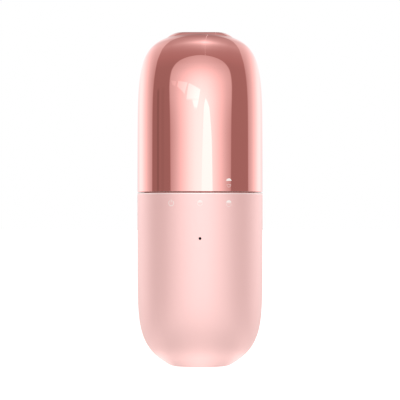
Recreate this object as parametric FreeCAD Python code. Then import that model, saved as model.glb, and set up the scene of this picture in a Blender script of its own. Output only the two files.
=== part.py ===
import FreeCAD, Part
import math
import os

# Desktop capsule vacuum cleaner: a matte body that carries a twist-off, plated dust cup.
#
# Millimetres. Z points up, the origin is the centre of the foot's underside, -Y is the front
# with the indicator, +Y is the back with the exhaust grille and the charging socket.
# The cup stands at its OPEN mark, where it lifts straight off. Turning it clockwise, seen from
# above, takes it one mark on to LOCKED and two marks on to RUNNING.

# ---- overall form ----------------------------------------------------------------------------
BODY_HEIGHT = 93.7        # foot to the seam between body and dust cup
DOME_RISE = 85.3          # seam to the crown of the dome
LIP_RISE = 1.0            # mouth lip above the crown
BODY_RADIUS = 33.9        # at the seam
FOOT_RADIUS = 15.7        # flat underside of the body
BODY_BARREL = 9.34        # how straight the body's side stays before it turns in
BODY_SHOULDER = 1.17      # how full the turn towards the foot is
DOME_BARREL = 7.35
DOME_SHOULDER = 3.07
PROFILE_STEPS = 28        # stretches that each profile curve is drawn through
STEP_CROWDING = 2.4

# ---- walls and clearances --------------------------------------------------------------------
BODY_WALL = 2.2
BODY_FLOOR = 2.7
CUP_WALL = 1.8
SEAM_GAP = 0.4
EDGE_BREAK = 0.35         # bevel on both sides of the seam
FIT = 0.1                 # between pieces that are pushed together
SLIDE_GAP = 0.3           # between pieces that move past each other
RUNNING_GAP = 0.05        # a shaft or pin in its own hole, on the radius

# ---- foot pad --------------------------------------------------------------------------------
PAD_RADIUS = 12.6
PAD_THICKNESS = 1.0
PAD_PROUD = 0.3

# ---- mouth, duct and flap --------------------------------------------------------------------
MOUTH_STRAIGHT = 7.2      # half of the straight side of the oblong mouth
MOUTH_END_RADIUS = 3.7
DUCT_WALL = 1.0
DUCT_SUNK = 0.4           # duct rim below the lip
DUCT_LENGTH = 16.0
DUCT_FLANGE_WIDTH = 2.6
DUCT_FLANGE_THICKNESS = 1.2
LIP_WIDTH = 0.75          # flat top of the lip, outside the duct
LIP_ROUND = 6.6           # radius of the lip's rounded skirt
LIP_DROP = 3.4            # height of the skirt
SEAT_DEPTH = 4.4          # flat seat for the duct flange, below the crown
FLAP_THICKNESS = 0.9
FLAP_OVERLAP = 0.6        # flap beyond the bore of the duct
FLAP_GAP = 0.15
FLAP_BARREL_RADIUS = 1.25
FLAP_BARREL_LENGTH = 11.0
FLAP_PIN_RADIUS = 0.6
FLAP_EAR_WIDTH = 1.6
FLAP_EAR_HEIGHT = 4.0     # ear's root on the duct

# ---- bayonet: lock collar on the body, lugs in the cup ---------------------------------------
LUG_COUNT = 3
LUG_ANGLE = 12.0
LUG_DEPTH = 1.4
LUG_HEIGHT = 2.2
LUG_RISE = 5.2            # lug underside above the seam
FIRST_LUG_ANGLE = -100.0  # from +X
MARK_STEP = 26.5          # between OPEN, LOCKED and RUNNING
RING_THICKNESS = 1.8
RING_HEIGHT = 12.6
RING_RISE = 0.8           # ring underside above the seam
COLLAR_WALL = 2.6
COLLAR_RISE = 12.9        # collar top above the seam
DECK_RISE = 4.4           # top of the collar's floor above the seam
DECK_THICKNESS = 2.0
FLANGE_DROP = 4.6         # underside of the collar's flange below the seam
FLANGE_THICKNESS = 2.2
NECK_RELIEF = 1.2         # depth of the groove that the switch ring runs in
LEDGE_HEIGHT = 2.5        # ledge in the body that carries the flange
LEDGE_WIDTH = 2.2
SEAL_HEIGHT = 1.5
SEAL_DEPTH = 1.0
SEAL_RISE = 1.6           # seal above the seam

# ---- switch ring, magnet and sensor ----------------------------------------------------------
SWITCH_RING_HEIGHT = 2.0
DOG_ANGLE = 8.0
DOG_DEPTH = 1.4           # dog below the top of the switch ring
FIRST_DOG_ANGLE = -40.0
MAGNET_ANGLE = 150.0
MAGNET_LENGTH = 3.0
MAGNET_HEIGHT = 1.2
MAGNET_WIDTH = 1.2

# ---- filter ----------------------------------------------------------------------------------
FILTER_CLEARANCE = 2.9    # between the cage and the collar's bore
FILTER_HEIGHT = 38.0      # base to cap
FILTER_BASE = 2.6
FILTER_CAP = 2.2
FILTER_WALL = 1.6
FILTER_RIBS = 6
FILTER_BORE = 13.6
RIB_WIDTH = 2.2
PLEATS = 30
PLEAT_DEPTH = 5.5
PLEAT_SHEET = 1.7         # paper, measured along the radius
MESH_THICKNESS = 0.5
TAB_RADIUS = 8.0
TAB_HEIGHT = 3.2
TAB_THICKNESS = 1.6
BASE_SEAL = 1.0

# ---- fan -------------------------------------------------------------------------------------
FAN_HEIGHT = 7.0
FAN_BLADES = 9
FAN_PLATE = 1.2
FAN_GAP = 0.6             # above and below the wheel
HUB_RADIUS = 5.0
BLADE_THICKNESS = 1.0
BLADE_SWEEP = 62.0        # angle that a blade leans back
EYE_RADIUS = 12.0
SHROUD = 1.5
VOLUTE_GAP = 1.1          # from the wheel's rim to the housing
HOUSING_WALL = 1.5
HOUSING_FLOOR = 1.3
HOUSING_PORTS = 10
PORT_ANGLE = 20.0
GUARD_HOLE_RADIUS = 14.5
GUARD_THICKNESS = 1.5
GUARD_SPOKES = 8
GUARD_BAR = 1.0
GUARD_HUB = 2.5

# ---- motor -----------------------------------------------------------------------------------
MOTOR_RADIUS = 12.2
MOTOR_LENGTH = 26.5
CAN_WALL = 0.8
STATOR_THICKNESS = 2.2
STATOR_ANGLE = 130.0
ARMATURE_GAP = 0.4
ARMATURE_SLOTS = 5
ARMATURE_SLOT = 2.0
SHAFT_RADIUS = 1.0
BUSH_RADIUS = 2.0
BUSH_LENGTH = 3.0
BOSS_WALL = 1.1
ENDCAP = 2.4
SLEEVE_THICKNESS = 2.4
SLEEVE_HEIGHT = 12.0
CAGE_WALL = 1.5
CAGE_FLANGE = 1.5
CAGE_WINDOWS = 4
CAGE_WINDOW_ANGLE = 50.0
POST_RADIUS = 2.0
POST_INSET = 2.4          # middle of a post inside the collar's bore
FIRST_POST_ANGLE = 30.0

# ---- battery and electronics -----------------------------------------------------------------
CELL_RADIUS = 9.05
CELL_HEADROOM = 1.0       # between the bulkhead and the motor
CELL_SPACING = 0.7        # between the two cells
CELL_NUB_RADIUS = 3.0
CELL_NUB_HEIGHT = 1.0
CRADLE_WALL = 1.2
CRADLE_FLOOR = 3.0
WINDOW_HALF_HEIGHT = 9.0  # of the openings in the cradle's ends
STRIP_THICKNESS = 0.3
STRIP_HALF_WIDTH = 3.0
BULKHEAD = 1.6
BOARD_INSET = 10.7        # back face of the control board inside the body's side
BOARD_THICKNESS = 1.2
BOARD_HALF_WIDTH = 12.0
BOARD_BOTTOM = 15.0
BOARD_HEADROOM = 2.4      # between the board and the bulkhead
STANDOFF_RADIUS = 2.4
STANDOFF_HALF_SPACING = 8.5
STANDOFF_INSET = 5.0      # from the board's top and bottom edge
CHARGER_CHIP = 7.0        # side of the charging chip
CHARGER_CHIP_THICKNESS = 1.2
COIL = 4.0
COIL_THICKNESS = 1.5
COIL_X = 7.5
TRANSISTOR_WIDTH = 2.5
TRANSISTOR_HEIGHT = 5.0
TRANSISTOR_THICKNESS = 0.9
TRANSISTOR_X = -7.75
SOCKET_Z = 24.0
SOCKET_HALF_WIDTH = 4.47
SOCKET_HALF_HEIGHT = 1.63
SOCKET_SKIN = 0.3
SOCKET_DEPTH = 6.4
SOCKET_SUNK = 0.5         # socket mouth inside the body's surface
TONGUE_THICKNESS = 0.7
PORT_MARGIN = 0.35
INDICATOR_DROP = 24.45    # below the seam
INDICATOR_RADIUS = 0.65
LENS_SUNK = 0.05
LENS_FLANGE_RADIUS = 1.6
LENS_FLANGE = 0.7
LAMP_SIZE = 1.6
LAMP_THICKNESS = 0.5
LAMP_GAP = 0.2
LAMP_BOARD_WIDTH = 6.0
LAMP_BOARD_HEIGHT = 9.0
LAMP_BOARD_THICKNESS = 0.8

# ---- exhaust ---------------------------------------------------------------------------------
VENT_DROP = 18.1          # middle of the grille below the seam
VENT_HALF_WIDTH = 15.0
VENT_HALF_HEIGHT = 6.5
VENT_LIP = 1.5            # grille's lip behind the body wall
VENT_LIP_THICKNESS = 0.8
VENT_SLOTS = 9
VENT_SLOT_WIDTH = 1.5
VENT_SLOT_PITCH = 2.9
VENT_MARGIN = 1.6         # solid border round the slots

# ---- screws ----------------------------------------------------------------------------------
SCREW_RADIUS = 1.0
SCREW_HEAD_RADIUS = 1.8
SCREW_HEAD = 1.2
DECK_SCREW = 8.0
CAGE_SCREW = 5.5
FOOT_SCREW = 4.6
BOARD_SCREW = 5.0
DRIVE_RADIUS = 1.0
DRIVE_WIDTH = 0.5
DRIVE_DEPTH = 0.7
CAGE_SCREW_CIRCLE = 19.4
CAGE_BOSS_RADIUS = 2.0
CAGE_BOSS_HEIGHT = 4.0
FOOT_SCREW_X = 7.0

# ---- places worked out from the sizes above --------------------------------------------------
HEIGHT = BODY_HEIGHT + DOME_RISE + LIP_RISE
CROWN_Z = BODY_HEIGHT + DOME_RISE
FOOT_SHARE = (1 - (FOOT_RADIUS / BODY_RADIUS) ** BODY_SHOULDER) ** (1 / BODY_BARREL)
BODY_REACH = BODY_HEIGHT / FOOT_SHARE
SHELL_BOTTOM = PAD_PROUD
CAVITY_BOTTOM = SHELL_BOTTOM + BODY_FLOOR
BODY_BORE = BODY_RADIUS - BODY_WALL
BODY_TOP = BODY_HEIGHT - SEAM_GAP / 2
CUP_BOTTOM = BODY_HEIGHT + SEAM_GAP / 2

RING_OUTER = BODY_RADIUS - CUP_WALL - FIT
RING_INNER = RING_OUTER - RING_THICKNESS
RING_BOTTOM = BODY_HEIGHT + RING_RISE
COLLAR_RADIUS = RING_INNER - SLIDE_GAP
COLLAR_BORE = COLLAR_RADIUS - COLLAR_WALL
COLLAR_TOP = BODY_HEIGHT + COLLAR_RISE
LUG_BOTTOM = BODY_HEIGHT + LUG_RISE
LUG_INNER = RING_INNER - LUG_DEPTH
GROOVE_RADIUS = LUG_INNER - SLIDE_GAP
DECK_TOP = BODY_HEIGHT + DECK_RISE
DECK_BOTTOM = DECK_TOP - DECK_THICKNESS
FLANGE_BOTTOM = BODY_HEIGHT - FLANGE_DROP
FLANGE_TOP = FLANGE_BOTTOM + FLANGE_THICKNESS
FLANGE_RADIUS = BODY_BORE - FIT
SEAL_BOTTOM = BODY_HEIGHT + SEAL_RISE

SWITCH_RING_BOTTOM = FLANGE_TOP + SLIDE_GAP / 2
SWITCH_RING_TOP = SWITCH_RING_BOTTOM + SWITCH_RING_HEIGHT
SWITCH_RING_INNER = COLLAR_RADIUS - NECK_RELIEF + SLIDE_GAP / 2
SWITCH_RING_OUTER = BODY_BORE - SLIDE_GAP
SWITCH_RING_MIDDLE = (SWITCH_RING_INNER + SWITCH_RING_OUTER) / 2
RELIEF_TOP = SWITCH_RING_TOP + SLIDE_GAP

DUCT_OUTER = MOUTH_END_RADIUS + DUCT_WALL
LIP_END_RADIUS = DUCT_OUTER + LIP_WIDTH
DUCT_TOP = HEIGHT - DUCT_SUNK
DUCT_BOTTOM = DUCT_TOP - DUCT_LENGTH
SEAT_Z = CROWN_Z - SEAT_DEPTH
SEAT_END_RADIUS = DUCT_OUTER + DUCT_FLANGE_WIDTH
HINGE_Y = DUCT_OUTER + FLAP_BARREL_RADIUS + SLIDE_GAP
FLAP_TOP = DUCT_BOTTOM - FLAP_GAP
HINGE_Z = FLAP_TOP - FLAP_BARREL_RADIUS
PIN_REACH = FLAP_BARREL_LENGTH / 2 + SLIDE_GAP + FLAP_EAR_WIDTH

POST_CIRCLE = COLLAR_BORE - POST_INSET
HOUSING_OUTER = POST_CIRCLE - POST_RADIUS - SLIDE_GAP
HOUSING_INNER = HOUSING_OUTER - HOUSING_WALL
FAN_RADIUS = HOUSING_INNER - VOLUTE_GAP
SHROUD_BOTTOM = DECK_BOTTOM - SHROUD
FAN_TOP = SHROUD_BOTTOM - FAN_GAP
FAN_BOTTOM = FAN_TOP - FAN_HEIGHT
SHAFT_TOP = FAN_TOP - FAN_HEIGHT / 4
HOUSING_FLOOR_TOP = FAN_BOTTOM - FAN_GAP
HOUSING_BOTTOM = HOUSING_FLOOR_TOP - HOUSING_FLOOR
MOTOR_TOP = HOUSING_BOTTOM
MOTOR_BOTTOM = MOTOR_TOP - MOTOR_LENGTH
STATOR_OUTER = MOTOR_RADIUS - CAN_WALL
STATOR_TOP = MOTOR_TOP - CAN_WALL - BUSH_LENGTH
CAGE_INNER = MOTOR_RADIUS + SLEEVE_THICKNESS
CAGE_OUTER = CAGE_INNER + CAGE_WALL
BULKHEAD_RADIUS = POST_CIRCLE + POST_RADIUS + FIT

CELL_BOTTOM = CAVITY_BOTTOM + CRADLE_FLOOR
BULKHEAD_TOP = MOTOR_BOTTOM - CELL_HEADROOM
BULKHEAD_BOTTOM = BULKHEAD_TOP - BULKHEAD
CELL_TOP = BULKHEAD_BOTTOM - STRIP_THICKNESS - FIT
CELL_X = CELL_RADIUS + CELL_SPACING / 2
CRADLE_BORE = CELL_RADIUS + FIT
CRADLE_OUTER = CRADLE_BORE + CRADLE_WALL
BOARD_BACK = BODY_RADIUS - BOARD_INSET
BOARD_FRONT = BOARD_BACK - BOARD_THICKNESS
BOARD_TOP = BULKHEAD_BOTTOM - BOARD_HEADROOM
INDICATOR_Z = BODY_HEIGHT - INDICATOR_DROP
VENT_Z = BODY_HEIGHT - VENT_DROP
LENS_FRONT = BODY_RADIUS - LENS_SUNK
LENS_SHOULDER = BODY_BORE - FIT
LENS_BACK = LENS_SHOULDER - LENS_FLANGE
LAMP_FRONT = LENS_BACK - LAMP_GAP
LAMP_BACK = LAMP_FRONT - LAMP_THICKNESS
LAMP_BOARD_BACK = LAMP_BACK - LAMP_BOARD_THICKNESS

FILTER_BOTTOM = DECK_TOP + BASE_SEAL
FILTER_TOP = FILTER_BOTTOM + FILTER_HEIGHT
FILTER_BASE_RADIUS = COLLAR_BORE - SLIDE_GAP
FILTER_RADIUS = COLLAR_BORE - FILTER_CLEARANCE
CAGE_INSIDE = FILTER_RADIUS - FILTER_WALL
PLEAT_OUTER = CAGE_INSIDE - MESH_THICKNESS - FIT
PLEAT_BOTTOM = FILTER_BOTTOM + FILTER_BASE
PLEAT_TOP = FILTER_TOP - FILTER_CAP

UP = FreeCAD.Vector(0, 0, 1)
BACK = FreeCAD.Vector(0, 1, 0)
ALONG_X = FreeCAD.Vector(1, 0, 0)
CENTRE = FreeCAD.Vector(0, 0, 0)


# ---- drawing helpers -------------------------------------------------------------------------
def point(x, y, z):
    return FreeCAD.Vector(x, y, z)


def line(start, end):
    return Part.LineSegment(start, end).toShape()


def arc(start, middle, end):
    return Part.Arc(start, middle, end).toShape()


def disc(radius, z_low, z_high, x=0.0, y=0.0):
    return Part.makeCylinder(radius, z_high - z_low, point(x, y, z_low), UP)


def tube(outer, inner, z_low, z_high):
    return disc(outer, z_low, z_high).cut(disc(inner, z_low - 1, z_high + 1))


def rod(radius, start, direction, length):
    return Part.makeCylinder(radius, length, start, direction)


def block(x_low, x_high, y_low, y_high, z_low, z_high):
    return Part.makeBox(x_high - x_low, y_high - y_low, z_high - z_low, point(x_low, y_low, z_low))


def turned(shape, degrees):
    copy = shape.copy()
    copy.rotate(CENTRE, UP, degrees)
    return copy


def sector(outer, inner, start_angle, sweep, z_low, z_high):
    """Piece of a tube, counterclockwise from its start angle."""
    pie = Part.makeCylinder(outer, z_high - z_low, point(0, 0, z_low), UP, sweep)
    return turned(pie, start_angle).cut(disc(inner, z_low - 1, z_high + 1))


def ring_of(shape, count, first=0.0):
    """The shape repeated evenly round the Z axis."""
    return [turned(shape, first + 360.0 * i / count) for i in range(count)]


def on_circle(radius, degrees):
    return radius * math.cos(math.radians(degrees)), radius * math.sin(math.radians(degrees))


def joined(shapes):
    first, *rest = shapes
    return first.multiFuse(rest).removeSplitter()


def circles_at(shape, z, radius):
    """Full circles of a turned shape at one height and of one radius."""
    rings = [e for e in shape.Edges if not e.Degenerated and isinstance(e.Curve, Part.Circle)]
    rings = [e for e in rings if abs(e.Curve.Center.z - z) < FIT]
    return [e for e in rings if abs(e.Curve.Radius - radius) < FIT]


def oblong_face(straight, end_radius, z=0.0):
    """Two straight sides along X and two round ends."""
    right_low, right_high = point(straight, -end_radius, z), point(straight, end_radius, z)
    left_low, left_high = point(-straight, -end_radius, z), point(-straight, end_radius, z)
    right_tip, left_tip = point(straight + end_radius, 0, z), point(-straight - end_radius, 0, z)
    low_side, high_side = line(left_low, right_low), line(right_high, left_high)
    right_end, left_end = arc(right_low, right_tip, right_high), arc(left_high, left_tip, left_low)
    return Part.Face(Part.Wire([low_side, right_end, high_side, left_end]))


def oblong(straight, end_radius, z_low, z_high):
    return oblong_face(straight, end_radius, z_low).extrude(UP * (z_high - z_low))


def oblong_backwards(straight, end_radius, z, y_low, y_high):
    """Oblong prism that runs along +Y."""
    prism = oblong(straight, end_radius, 0, y_high - y_low)
    prism.rotate(CENTRE, ALONG_X, -90)
    prism.translate(point(0, y_low, z))
    return prism


# ---- the capsule's outline -------------------------------------------------------------------
def barrel_outline(radius, reach, barrel, shoulder, near, far):
    """Radius and distance from the seam, for (r / radius)^shoulder + (distance / reach)^barrel = 1.

    The steps are finest at the seam end, where a small turn goes a long way along the side.
    """
    start, end = (math.asin((distance / reach) ** (barrel / 2)) for distance in (near, far))
    shares = [(i / PROFILE_STEPS) ** STEP_CROWDING for i in range(PROFILE_STEPS + 1)]
    turns = [start + (end - start) * share for share in shares]
    return [(radius * math.cos(t) ** (2 / shoulder), reach * math.sin(t) ** (2 / barrel)) for t in turns]


def spun(outline):
    """Solid turned from an outline that runs from the solid's bottom to its top."""
    curve = Part.BSplineCurve()
    curve.interpolate(outline)
    first, last = outline[0], outline[-1]
    low, high = point(0, 0, first.z), point(0, 0, last.z)
    edges = [line(low, first), curve.toShape()]
    if last.x > FIT:
        edges.append(line(last, high))
    edges.append(line(high, low))
    return Part.Face(Part.Wire(edges)).revolve(CENTRE, UP, 360)


def body_solid(z_low, z_high, inset=0.0):
    near, far = BODY_HEIGHT - z_high, BODY_HEIGHT - z_low
    sizes = (BODY_RADIUS - inset, BODY_REACH - inset, BODY_BARREL, BODY_SHOULDER)
    outline = barrel_outline(*sizes, near, far)
    return spun([point(r, 0, BODY_HEIGHT - distance) for r, distance in reversed(outline)])


def body_radius_at(z):
    share = (BODY_HEIGHT - z) / BODY_REACH
    return BODY_RADIUS * (1 - share ** BODY_BARREL) ** (1 / BODY_SHOULDER)


def dome_solid(z_low, inset=0.0):
    rise = DOME_RISE - inset
    sizes = (BODY_RADIUS - inset, rise, DOME_BARREL, DOME_SHOULDER)
    outline = barrel_outline(*sizes, z_low - BODY_HEIGHT, rise)
    return spun([point(r, 0, BODY_HEIGHT + distance) for r, distance in outline])


# ---- screws ----------------------------------------------------------------------------------
def screw(length, slack=0.0):
    """Countersunk screw that points down, its head's top at the origin."""
    neck = -SCREW_HEAD
    head = Part.makeCone(SCREW_RADIUS + slack, SCREW_HEAD_RADIUS + slack, SCREW_HEAD, point(0, 0, neck), UP)
    return head.fuse(disc(SCREW_RADIUS + slack, -length - slack, neck + slack))


def driven_screw(length):
    reach, half = DRIVE_RADIUS, DRIVE_WIDTH / 2
    across = block(-reach, reach, -half, half, -DRIVE_DEPTH, 1)
    return screw(length).cut([across, turned(across, 90)])


def placed(shape, places):
    copies = []
    for x, y, z in places:
        copy = shape.copy()
        copy.translate(point(x, y, z))
        copies.append(copy)
    return copies


def deck_screw_places():
    return [(*on_circle(POST_CIRCLE, FIRST_POST_ANGLE + 120 * i), DECK_TOP) for i in range(3)]


def cage_screw_places():
    z = BULKHEAD_TOP + CAGE_FLANGE
    return [(*on_circle(CAGE_SCREW_CIRCLE, FIRST_POST_ANGLE + 60 + 120 * i), z) for i in range(3)]


def foot_screws_of(shape):
    shape = shape.copy()
    shape.rotate(CENTRE, ALONG_X, 180)
    return placed(shape, [(-FOOT_SCREW_X, 0, PAD_THICKNESS), (FOOT_SCREW_X, 0, PAD_THICKNESS)])


def board_screws_of(shape):
    shape = shape.copy()
    shape.rotate(CENTRE, ALONG_X, -90)
    return placed(shape, [(x, BOARD_BACK, z) for x, z in standoff_places()])


def standoff_places():
    heights = (BOARD_BOTTOM + STANDOFF_INSET, BOARD_TOP - STANDOFF_INSET)
    return [(x, z) for x in (-STANDOFF_HALF_SPACING, STANDOFF_HALF_SPACING) for z in heights]


def deck_screws():
    return Part.makeCompound(placed(driven_screw(DECK_SCREW), deck_screw_places()))


def cage_screws():
    return Part.makeCompound(placed(driven_screw(CAGE_SCREW), cage_screw_places()))


def foot_screws():
    return Part.makeCompound(foot_screws_of(driven_screw(FOOT_SCREW)))


def board_screws():
    return Part.makeCompound(board_screws_of(driven_screw(BOARD_SCREW)))


def deck_screw_holes():
    return placed(screw(DECK_SCREW, FIT / 2), deck_screw_places())


def cage_screw_holes():
    return placed(screw(CAGE_SCREW, FIT / 2), cage_screw_places())


# ---- body shell and what shows on it ---------------------------------------------------------
def vent_window(margin):
    straight = VENT_HALF_WIDTH - VENT_HALF_HEIGHT
    return oblong_backwards(straight, VENT_HALF_HEIGHT + margin, VENT_Z, BODY_RADIUS / 2, BODY_RADIUS + 5)


def socket_prism(margin, y_low, y_high):
    straight = SOCKET_HALF_WIDTH - SOCKET_HALF_HEIGHT
    return oblong_backwards(straight, SOCKET_HALF_HEIGHT + margin, SOCKET_Z, y_low, y_high)


def flange_ledge():
    """Ledge inside the body, with a sloping underside, that carries the lock collar."""
    low = FLANGE_BOTTOM - LEDGE_HEIGHT
    inner = BODY_BORE - LEDGE_WIDTH
    outer = BODY_BORE + BODY_WALL / 2
    shelf = tube(outer, inner, low, FLANGE_BOTTOM)
    slope = Part.makeCone(BODY_BORE, inner, LEDGE_WIDTH, point(0, 0, low - LEDGE_WIDTH), UP)
    return shelf.fuse(disc(outer, low - LEDGE_WIDTH, low).cut(slope))


def body_shell():
    outside = body_solid(SHELL_BOTTOM, BODY_TOP)
    outside = outside.makeChamfer(EDGE_BREAK, circles_at(outside, BODY_TOP, BODY_RADIUS))
    shell = outside.cut(body_solid(CAVITY_BOTTOM, BODY_HEIGHT, BODY_WALL))
    shell = joined([shell, flange_ledge()])
    recess = disc(PAD_RADIUS + FIT, SHELL_BOTTOM - 1, PAD_THICKNESS)
    port = socket_prism(PORT_MARGIN, BODY_RADIUS / 2, BODY_RADIUS + 5)
    pinhole = rod(INDICATOR_RADIUS + FIT, point(0, 0, INDICATOR_Z), -BACK, BODY_RADIUS + 5)
    shell = shell.cut([recess, port, pinhole, vent_window(0)])
    return shell.cut(foot_screws_of(screw(FOOT_SCREW, FIT / 2)))


def foot_pad():
    pad = disc(PAD_RADIUS, 0, PAD_THICKNESS)
    return pad.makeFillet(PAD_PROUD * 0.9, circles_at(pad, 0, PAD_RADIUS))


def vent_slot(x):
    """Upright slot, shorter towards the window's round ends."""
    straight = VENT_HALF_WIDTH - VENT_HALF_HEIGHT
    beyond = max(abs(x) - straight, 0)
    reach = math.sqrt(VENT_HALF_HEIGHT ** 2 - beyond ** 2) - VENT_MARGIN
    slot = oblong(reach - VENT_SLOT_WIDTH / 2, VENT_SLOT_WIDTH / 2, 0, BODY_RADIUS)
    slot = turned(slot, 90)
    slot.rotate(CENTRE, ALONG_X, -90)
    slot.translate(point(x, BODY_RADIUS / 2, VENT_Z))
    return slot


def exhaust_grille():
    low, high = VENT_Z - 2 * VENT_HALF_HEIGHT, VENT_Z + 2 * VENT_HALF_HEIGHT
    behind_wall = BODY_WALL + FIT
    room = body_solid(low, high, behind_wall + VENT_LIP_THICKNESS)
    plug = body_solid(low, high).cut(room).common(vent_window(-FIT))
    lip_plate = body_solid(low, high, behind_wall).cut(room).common(vent_window(VENT_LIP))
    first = -VENT_SLOT_PITCH * (VENT_SLOTS - 1) / 2
    slots = [vent_slot(first + VENT_SLOT_PITCH * i) for i in range(VENT_SLOTS)]
    return joined([plug, lip_plate]).cut(slots)


def indicator_lens():
    """Light pipe from the front of the body to the lamp behind it."""
    pipe = rod(INDICATOR_RADIUS, point(0, -LENS_BACK, INDICATOR_Z), -BACK, LENS_FRONT - LENS_BACK)
    flange = rod(LENS_FLANGE_RADIUS, point(0, -LENS_BACK, INDICATOR_Z), -BACK, LENS_FLANGE)
    return pipe.fuse(flange)


def indicator_board():
    half, tall = LAMP_BOARD_WIDTH / 2, LAMP_BOARD_HEIGHT / 2
    board = block(-half, half, -LAMP_BACK, -LAMP_BOARD_BACK, INDICATOR_Z - tall, INDICATOR_Z + tall)
    half = LAMP_SIZE / 2
    lamp = block(-half, half, -LAMP_FRONT, -LAMP_BACK, INDICATOR_Z - half, INDICATOR_Z + half)
    return board.fuse(lamp)


# ---- lock collar, its seal, and the switch ring ----------------------------------------------
def bayonet_path():
    """Way in from the top for one lug, then its run round to the RUNNING mark."""
    side = math.degrees(SLIDE_GAP / LUG_INNER)
    entry = LUG_ANGLE + 2 * side
    travel = 2 * MARK_STEP
    low, high = LUG_BOTTOM - SLIDE_GAP, LUG_BOTTOM + LUG_HEIGHT + SLIDE_GAP
    way_in = sector(COLLAR_RADIUS + 1, GROOVE_RADIUS, -entry / 2, entry, low, COLLAR_TOP + 1)
    run = sector(COLLAR_RADIUS + 1, GROOVE_RADIUS, -entry / 2 - travel, entry + travel, low, high)
    return way_in.fuse(run)


def lock_collar():
    """Neck that the cup turns on, with the deck over the fan and the flange that seats it."""
    wall = tube(COLLAR_RADIUS, COLLAR_BORE, FLANGE_BOTTOM, COLLAR_TOP)
    wall = wall.makeChamfer(EDGE_BREAK, circles_at(wall, COLLAR_TOP, COLLAR_RADIUS))
    flange = tube(FLANGE_RADIUS, COLLAR_BORE, FLANGE_BOTTOM, FLANGE_TOP)
    deck = tube(COLLAR_BORE + COLLAR_WALL / 4, GUARD_HOLE_RADIUS, DECK_BOTTOM, DECK_TOP)
    collar = joined([wall, flange, deck])
    relief = tube(COLLAR_RADIUS + 1, COLLAR_RADIUS - NECK_RELIEF, FLANGE_TOP, RELIEF_TOP)
    seal_groove = tube(COLLAR_RADIUS + 1, COLLAR_RADIUS - SEAL_DEPTH, SEAL_BOTTOM, SEAL_BOTTOM + SEAL_HEIGHT)
    collar = collar.cut(ring_of(bayonet_path(), LUG_COUNT, FIRST_LUG_ANGLE))
    return collar.cut([relief, seal_groove, hall_sensor_block(FIT), *deck_screw_holes()])


def neck_seal():
    low, high = SEAL_BOTTOM + FIT / 2, SEAL_BOTTOM + SEAL_HEIGHT - FIT / 2
    return tube(RING_INNER - FIT, COLLAR_RADIUS - SEAL_DEPTH + FIT / 2, low, high)


def hall_sensor_block(margin):
    """Sensor in the flange, under the magnet when the cup stands at RUNNING."""
    deep, half = MAGNET_WIDTH / 2 + margin, MAGNET_LENGTH / 2 + margin
    low = FLANGE_TOP - MAGNET_HEIGHT - margin
    body = block(SWITCH_RING_MIDDLE - deep, SWITCH_RING_MIDDLE + deep, -half, half, low, FLANGE_TOP)
    return turned(body, MAGNET_ANGLE - 2 * MARK_STEP)


def hall_sensor():
    return hall_sensor_block(0)


def magnet_block(margin):
    deep, half = MAGNET_WIDTH / 2 + margin, MAGNET_LENGTH / 2 + margin
    high = SWITCH_RING_BOTTOM + MAGNET_HEIGHT + margin
    body = block(SWITCH_RING_MIDDLE - deep, SWITCH_RING_MIDDLE + deep, -half, half, SWITCH_RING_BOTTOM, high)
    return turned(body, MAGNET_ANGLE)


def switch_magnet():
    return magnet_block(0)


def dog_angles():
    return [FIRST_DOG_ANGLE + 360.0 * i / LUG_COUNT for i in range(LUG_COUNT)]


def switch_ring():
    """Ring that the cup's dogs turn; the collar's relief keeps it on the body."""
    ring = tube(SWITCH_RING_OUTER, SWITCH_RING_INNER, SWITCH_RING_BOTTOM, SWITCH_RING_TOP)
    sweep = DOG_ANGLE + 2 * math.degrees(FIT / RING_INNER)
    floor = SWITCH_RING_TOP - DOG_DEPTH - SLIDE_GAP / 2
    notch = sector(SWITCH_RING_OUTER + 1, RING_INNER - FIT, -sweep / 2, sweep, floor, SWITCH_RING_TOP + 1)
    notches = ring_of(notch, LUG_COUNT, FIRST_DOG_ANGLE)
    return ring.cut([*notches, magnet_block(FIT / 2)])


# ---- dust cup --------------------------------------------------------------------------------
def lip_section():
    """Half of the lip's cross-section, in the XZ plane, from its middle line outwards."""
    top_edge = point(LIP_END_RADIUS, 0, HEIGHT)
    foot_turn = math.acos(1 - LIP_DROP / LIP_ROUND)

    def on_skirt(turn):
        x = LIP_END_RADIUS + LIP_ROUND * math.sin(turn)
        return point(x, 0, HEIGHT - LIP_ROUND * (1 - math.cos(turn)))

    foot = on_skirt(foot_turn)
    middle_top, middle_foot = point(0, 0, HEIGHT), point(0, 0, foot.z)
    skirt = arc(top_edge, on_skirt(foot_turn / 2), foot)
    edges = [line(middle_top, top_edge), skirt, line(foot, middle_foot), line(middle_foot, middle_top)]
    return Part.Face(Part.Wire(edges))


def lip():
    """Oblong lip round the mouth, with a skirt that rounds over into the dome."""
    right_end = turned(lip_section().revolve(CENTRE, UP, 180), -90)
    right_end.translate(ALONG_X * MOUTH_STRAIGHT)
    half_bar = turned(lip_section(), 90).extrude(ALONG_X * 2 * MOUTH_STRAIGHT)
    half_bar.translate(ALONG_X * -MOUTH_STRAIGHT)
    return joined([right_end, turned(right_end, 180), half_bar, turned(half_bar, 180)])


def cup_shell():
    outside = dome_solid(CUP_BOTTOM)
    outside = outside.makeChamfer(EDGE_BREAK, circles_at(outside, CUP_BOTTOM, BODY_RADIUS)).fuse(lip())
    seat = oblong(MOUTH_STRAIGHT, SEAT_END_RADIUS, SEAT_Z, CROWN_Z)
    shell = outside.cut(dome_solid(BODY_HEIGHT, CUP_WALL).cut(seat))
    return shell.cut(oblong(MOUTH_STRAIGHT, DUCT_OUTER + FIT, SEAT_Z - 1, HEIGHT + 1))


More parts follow.
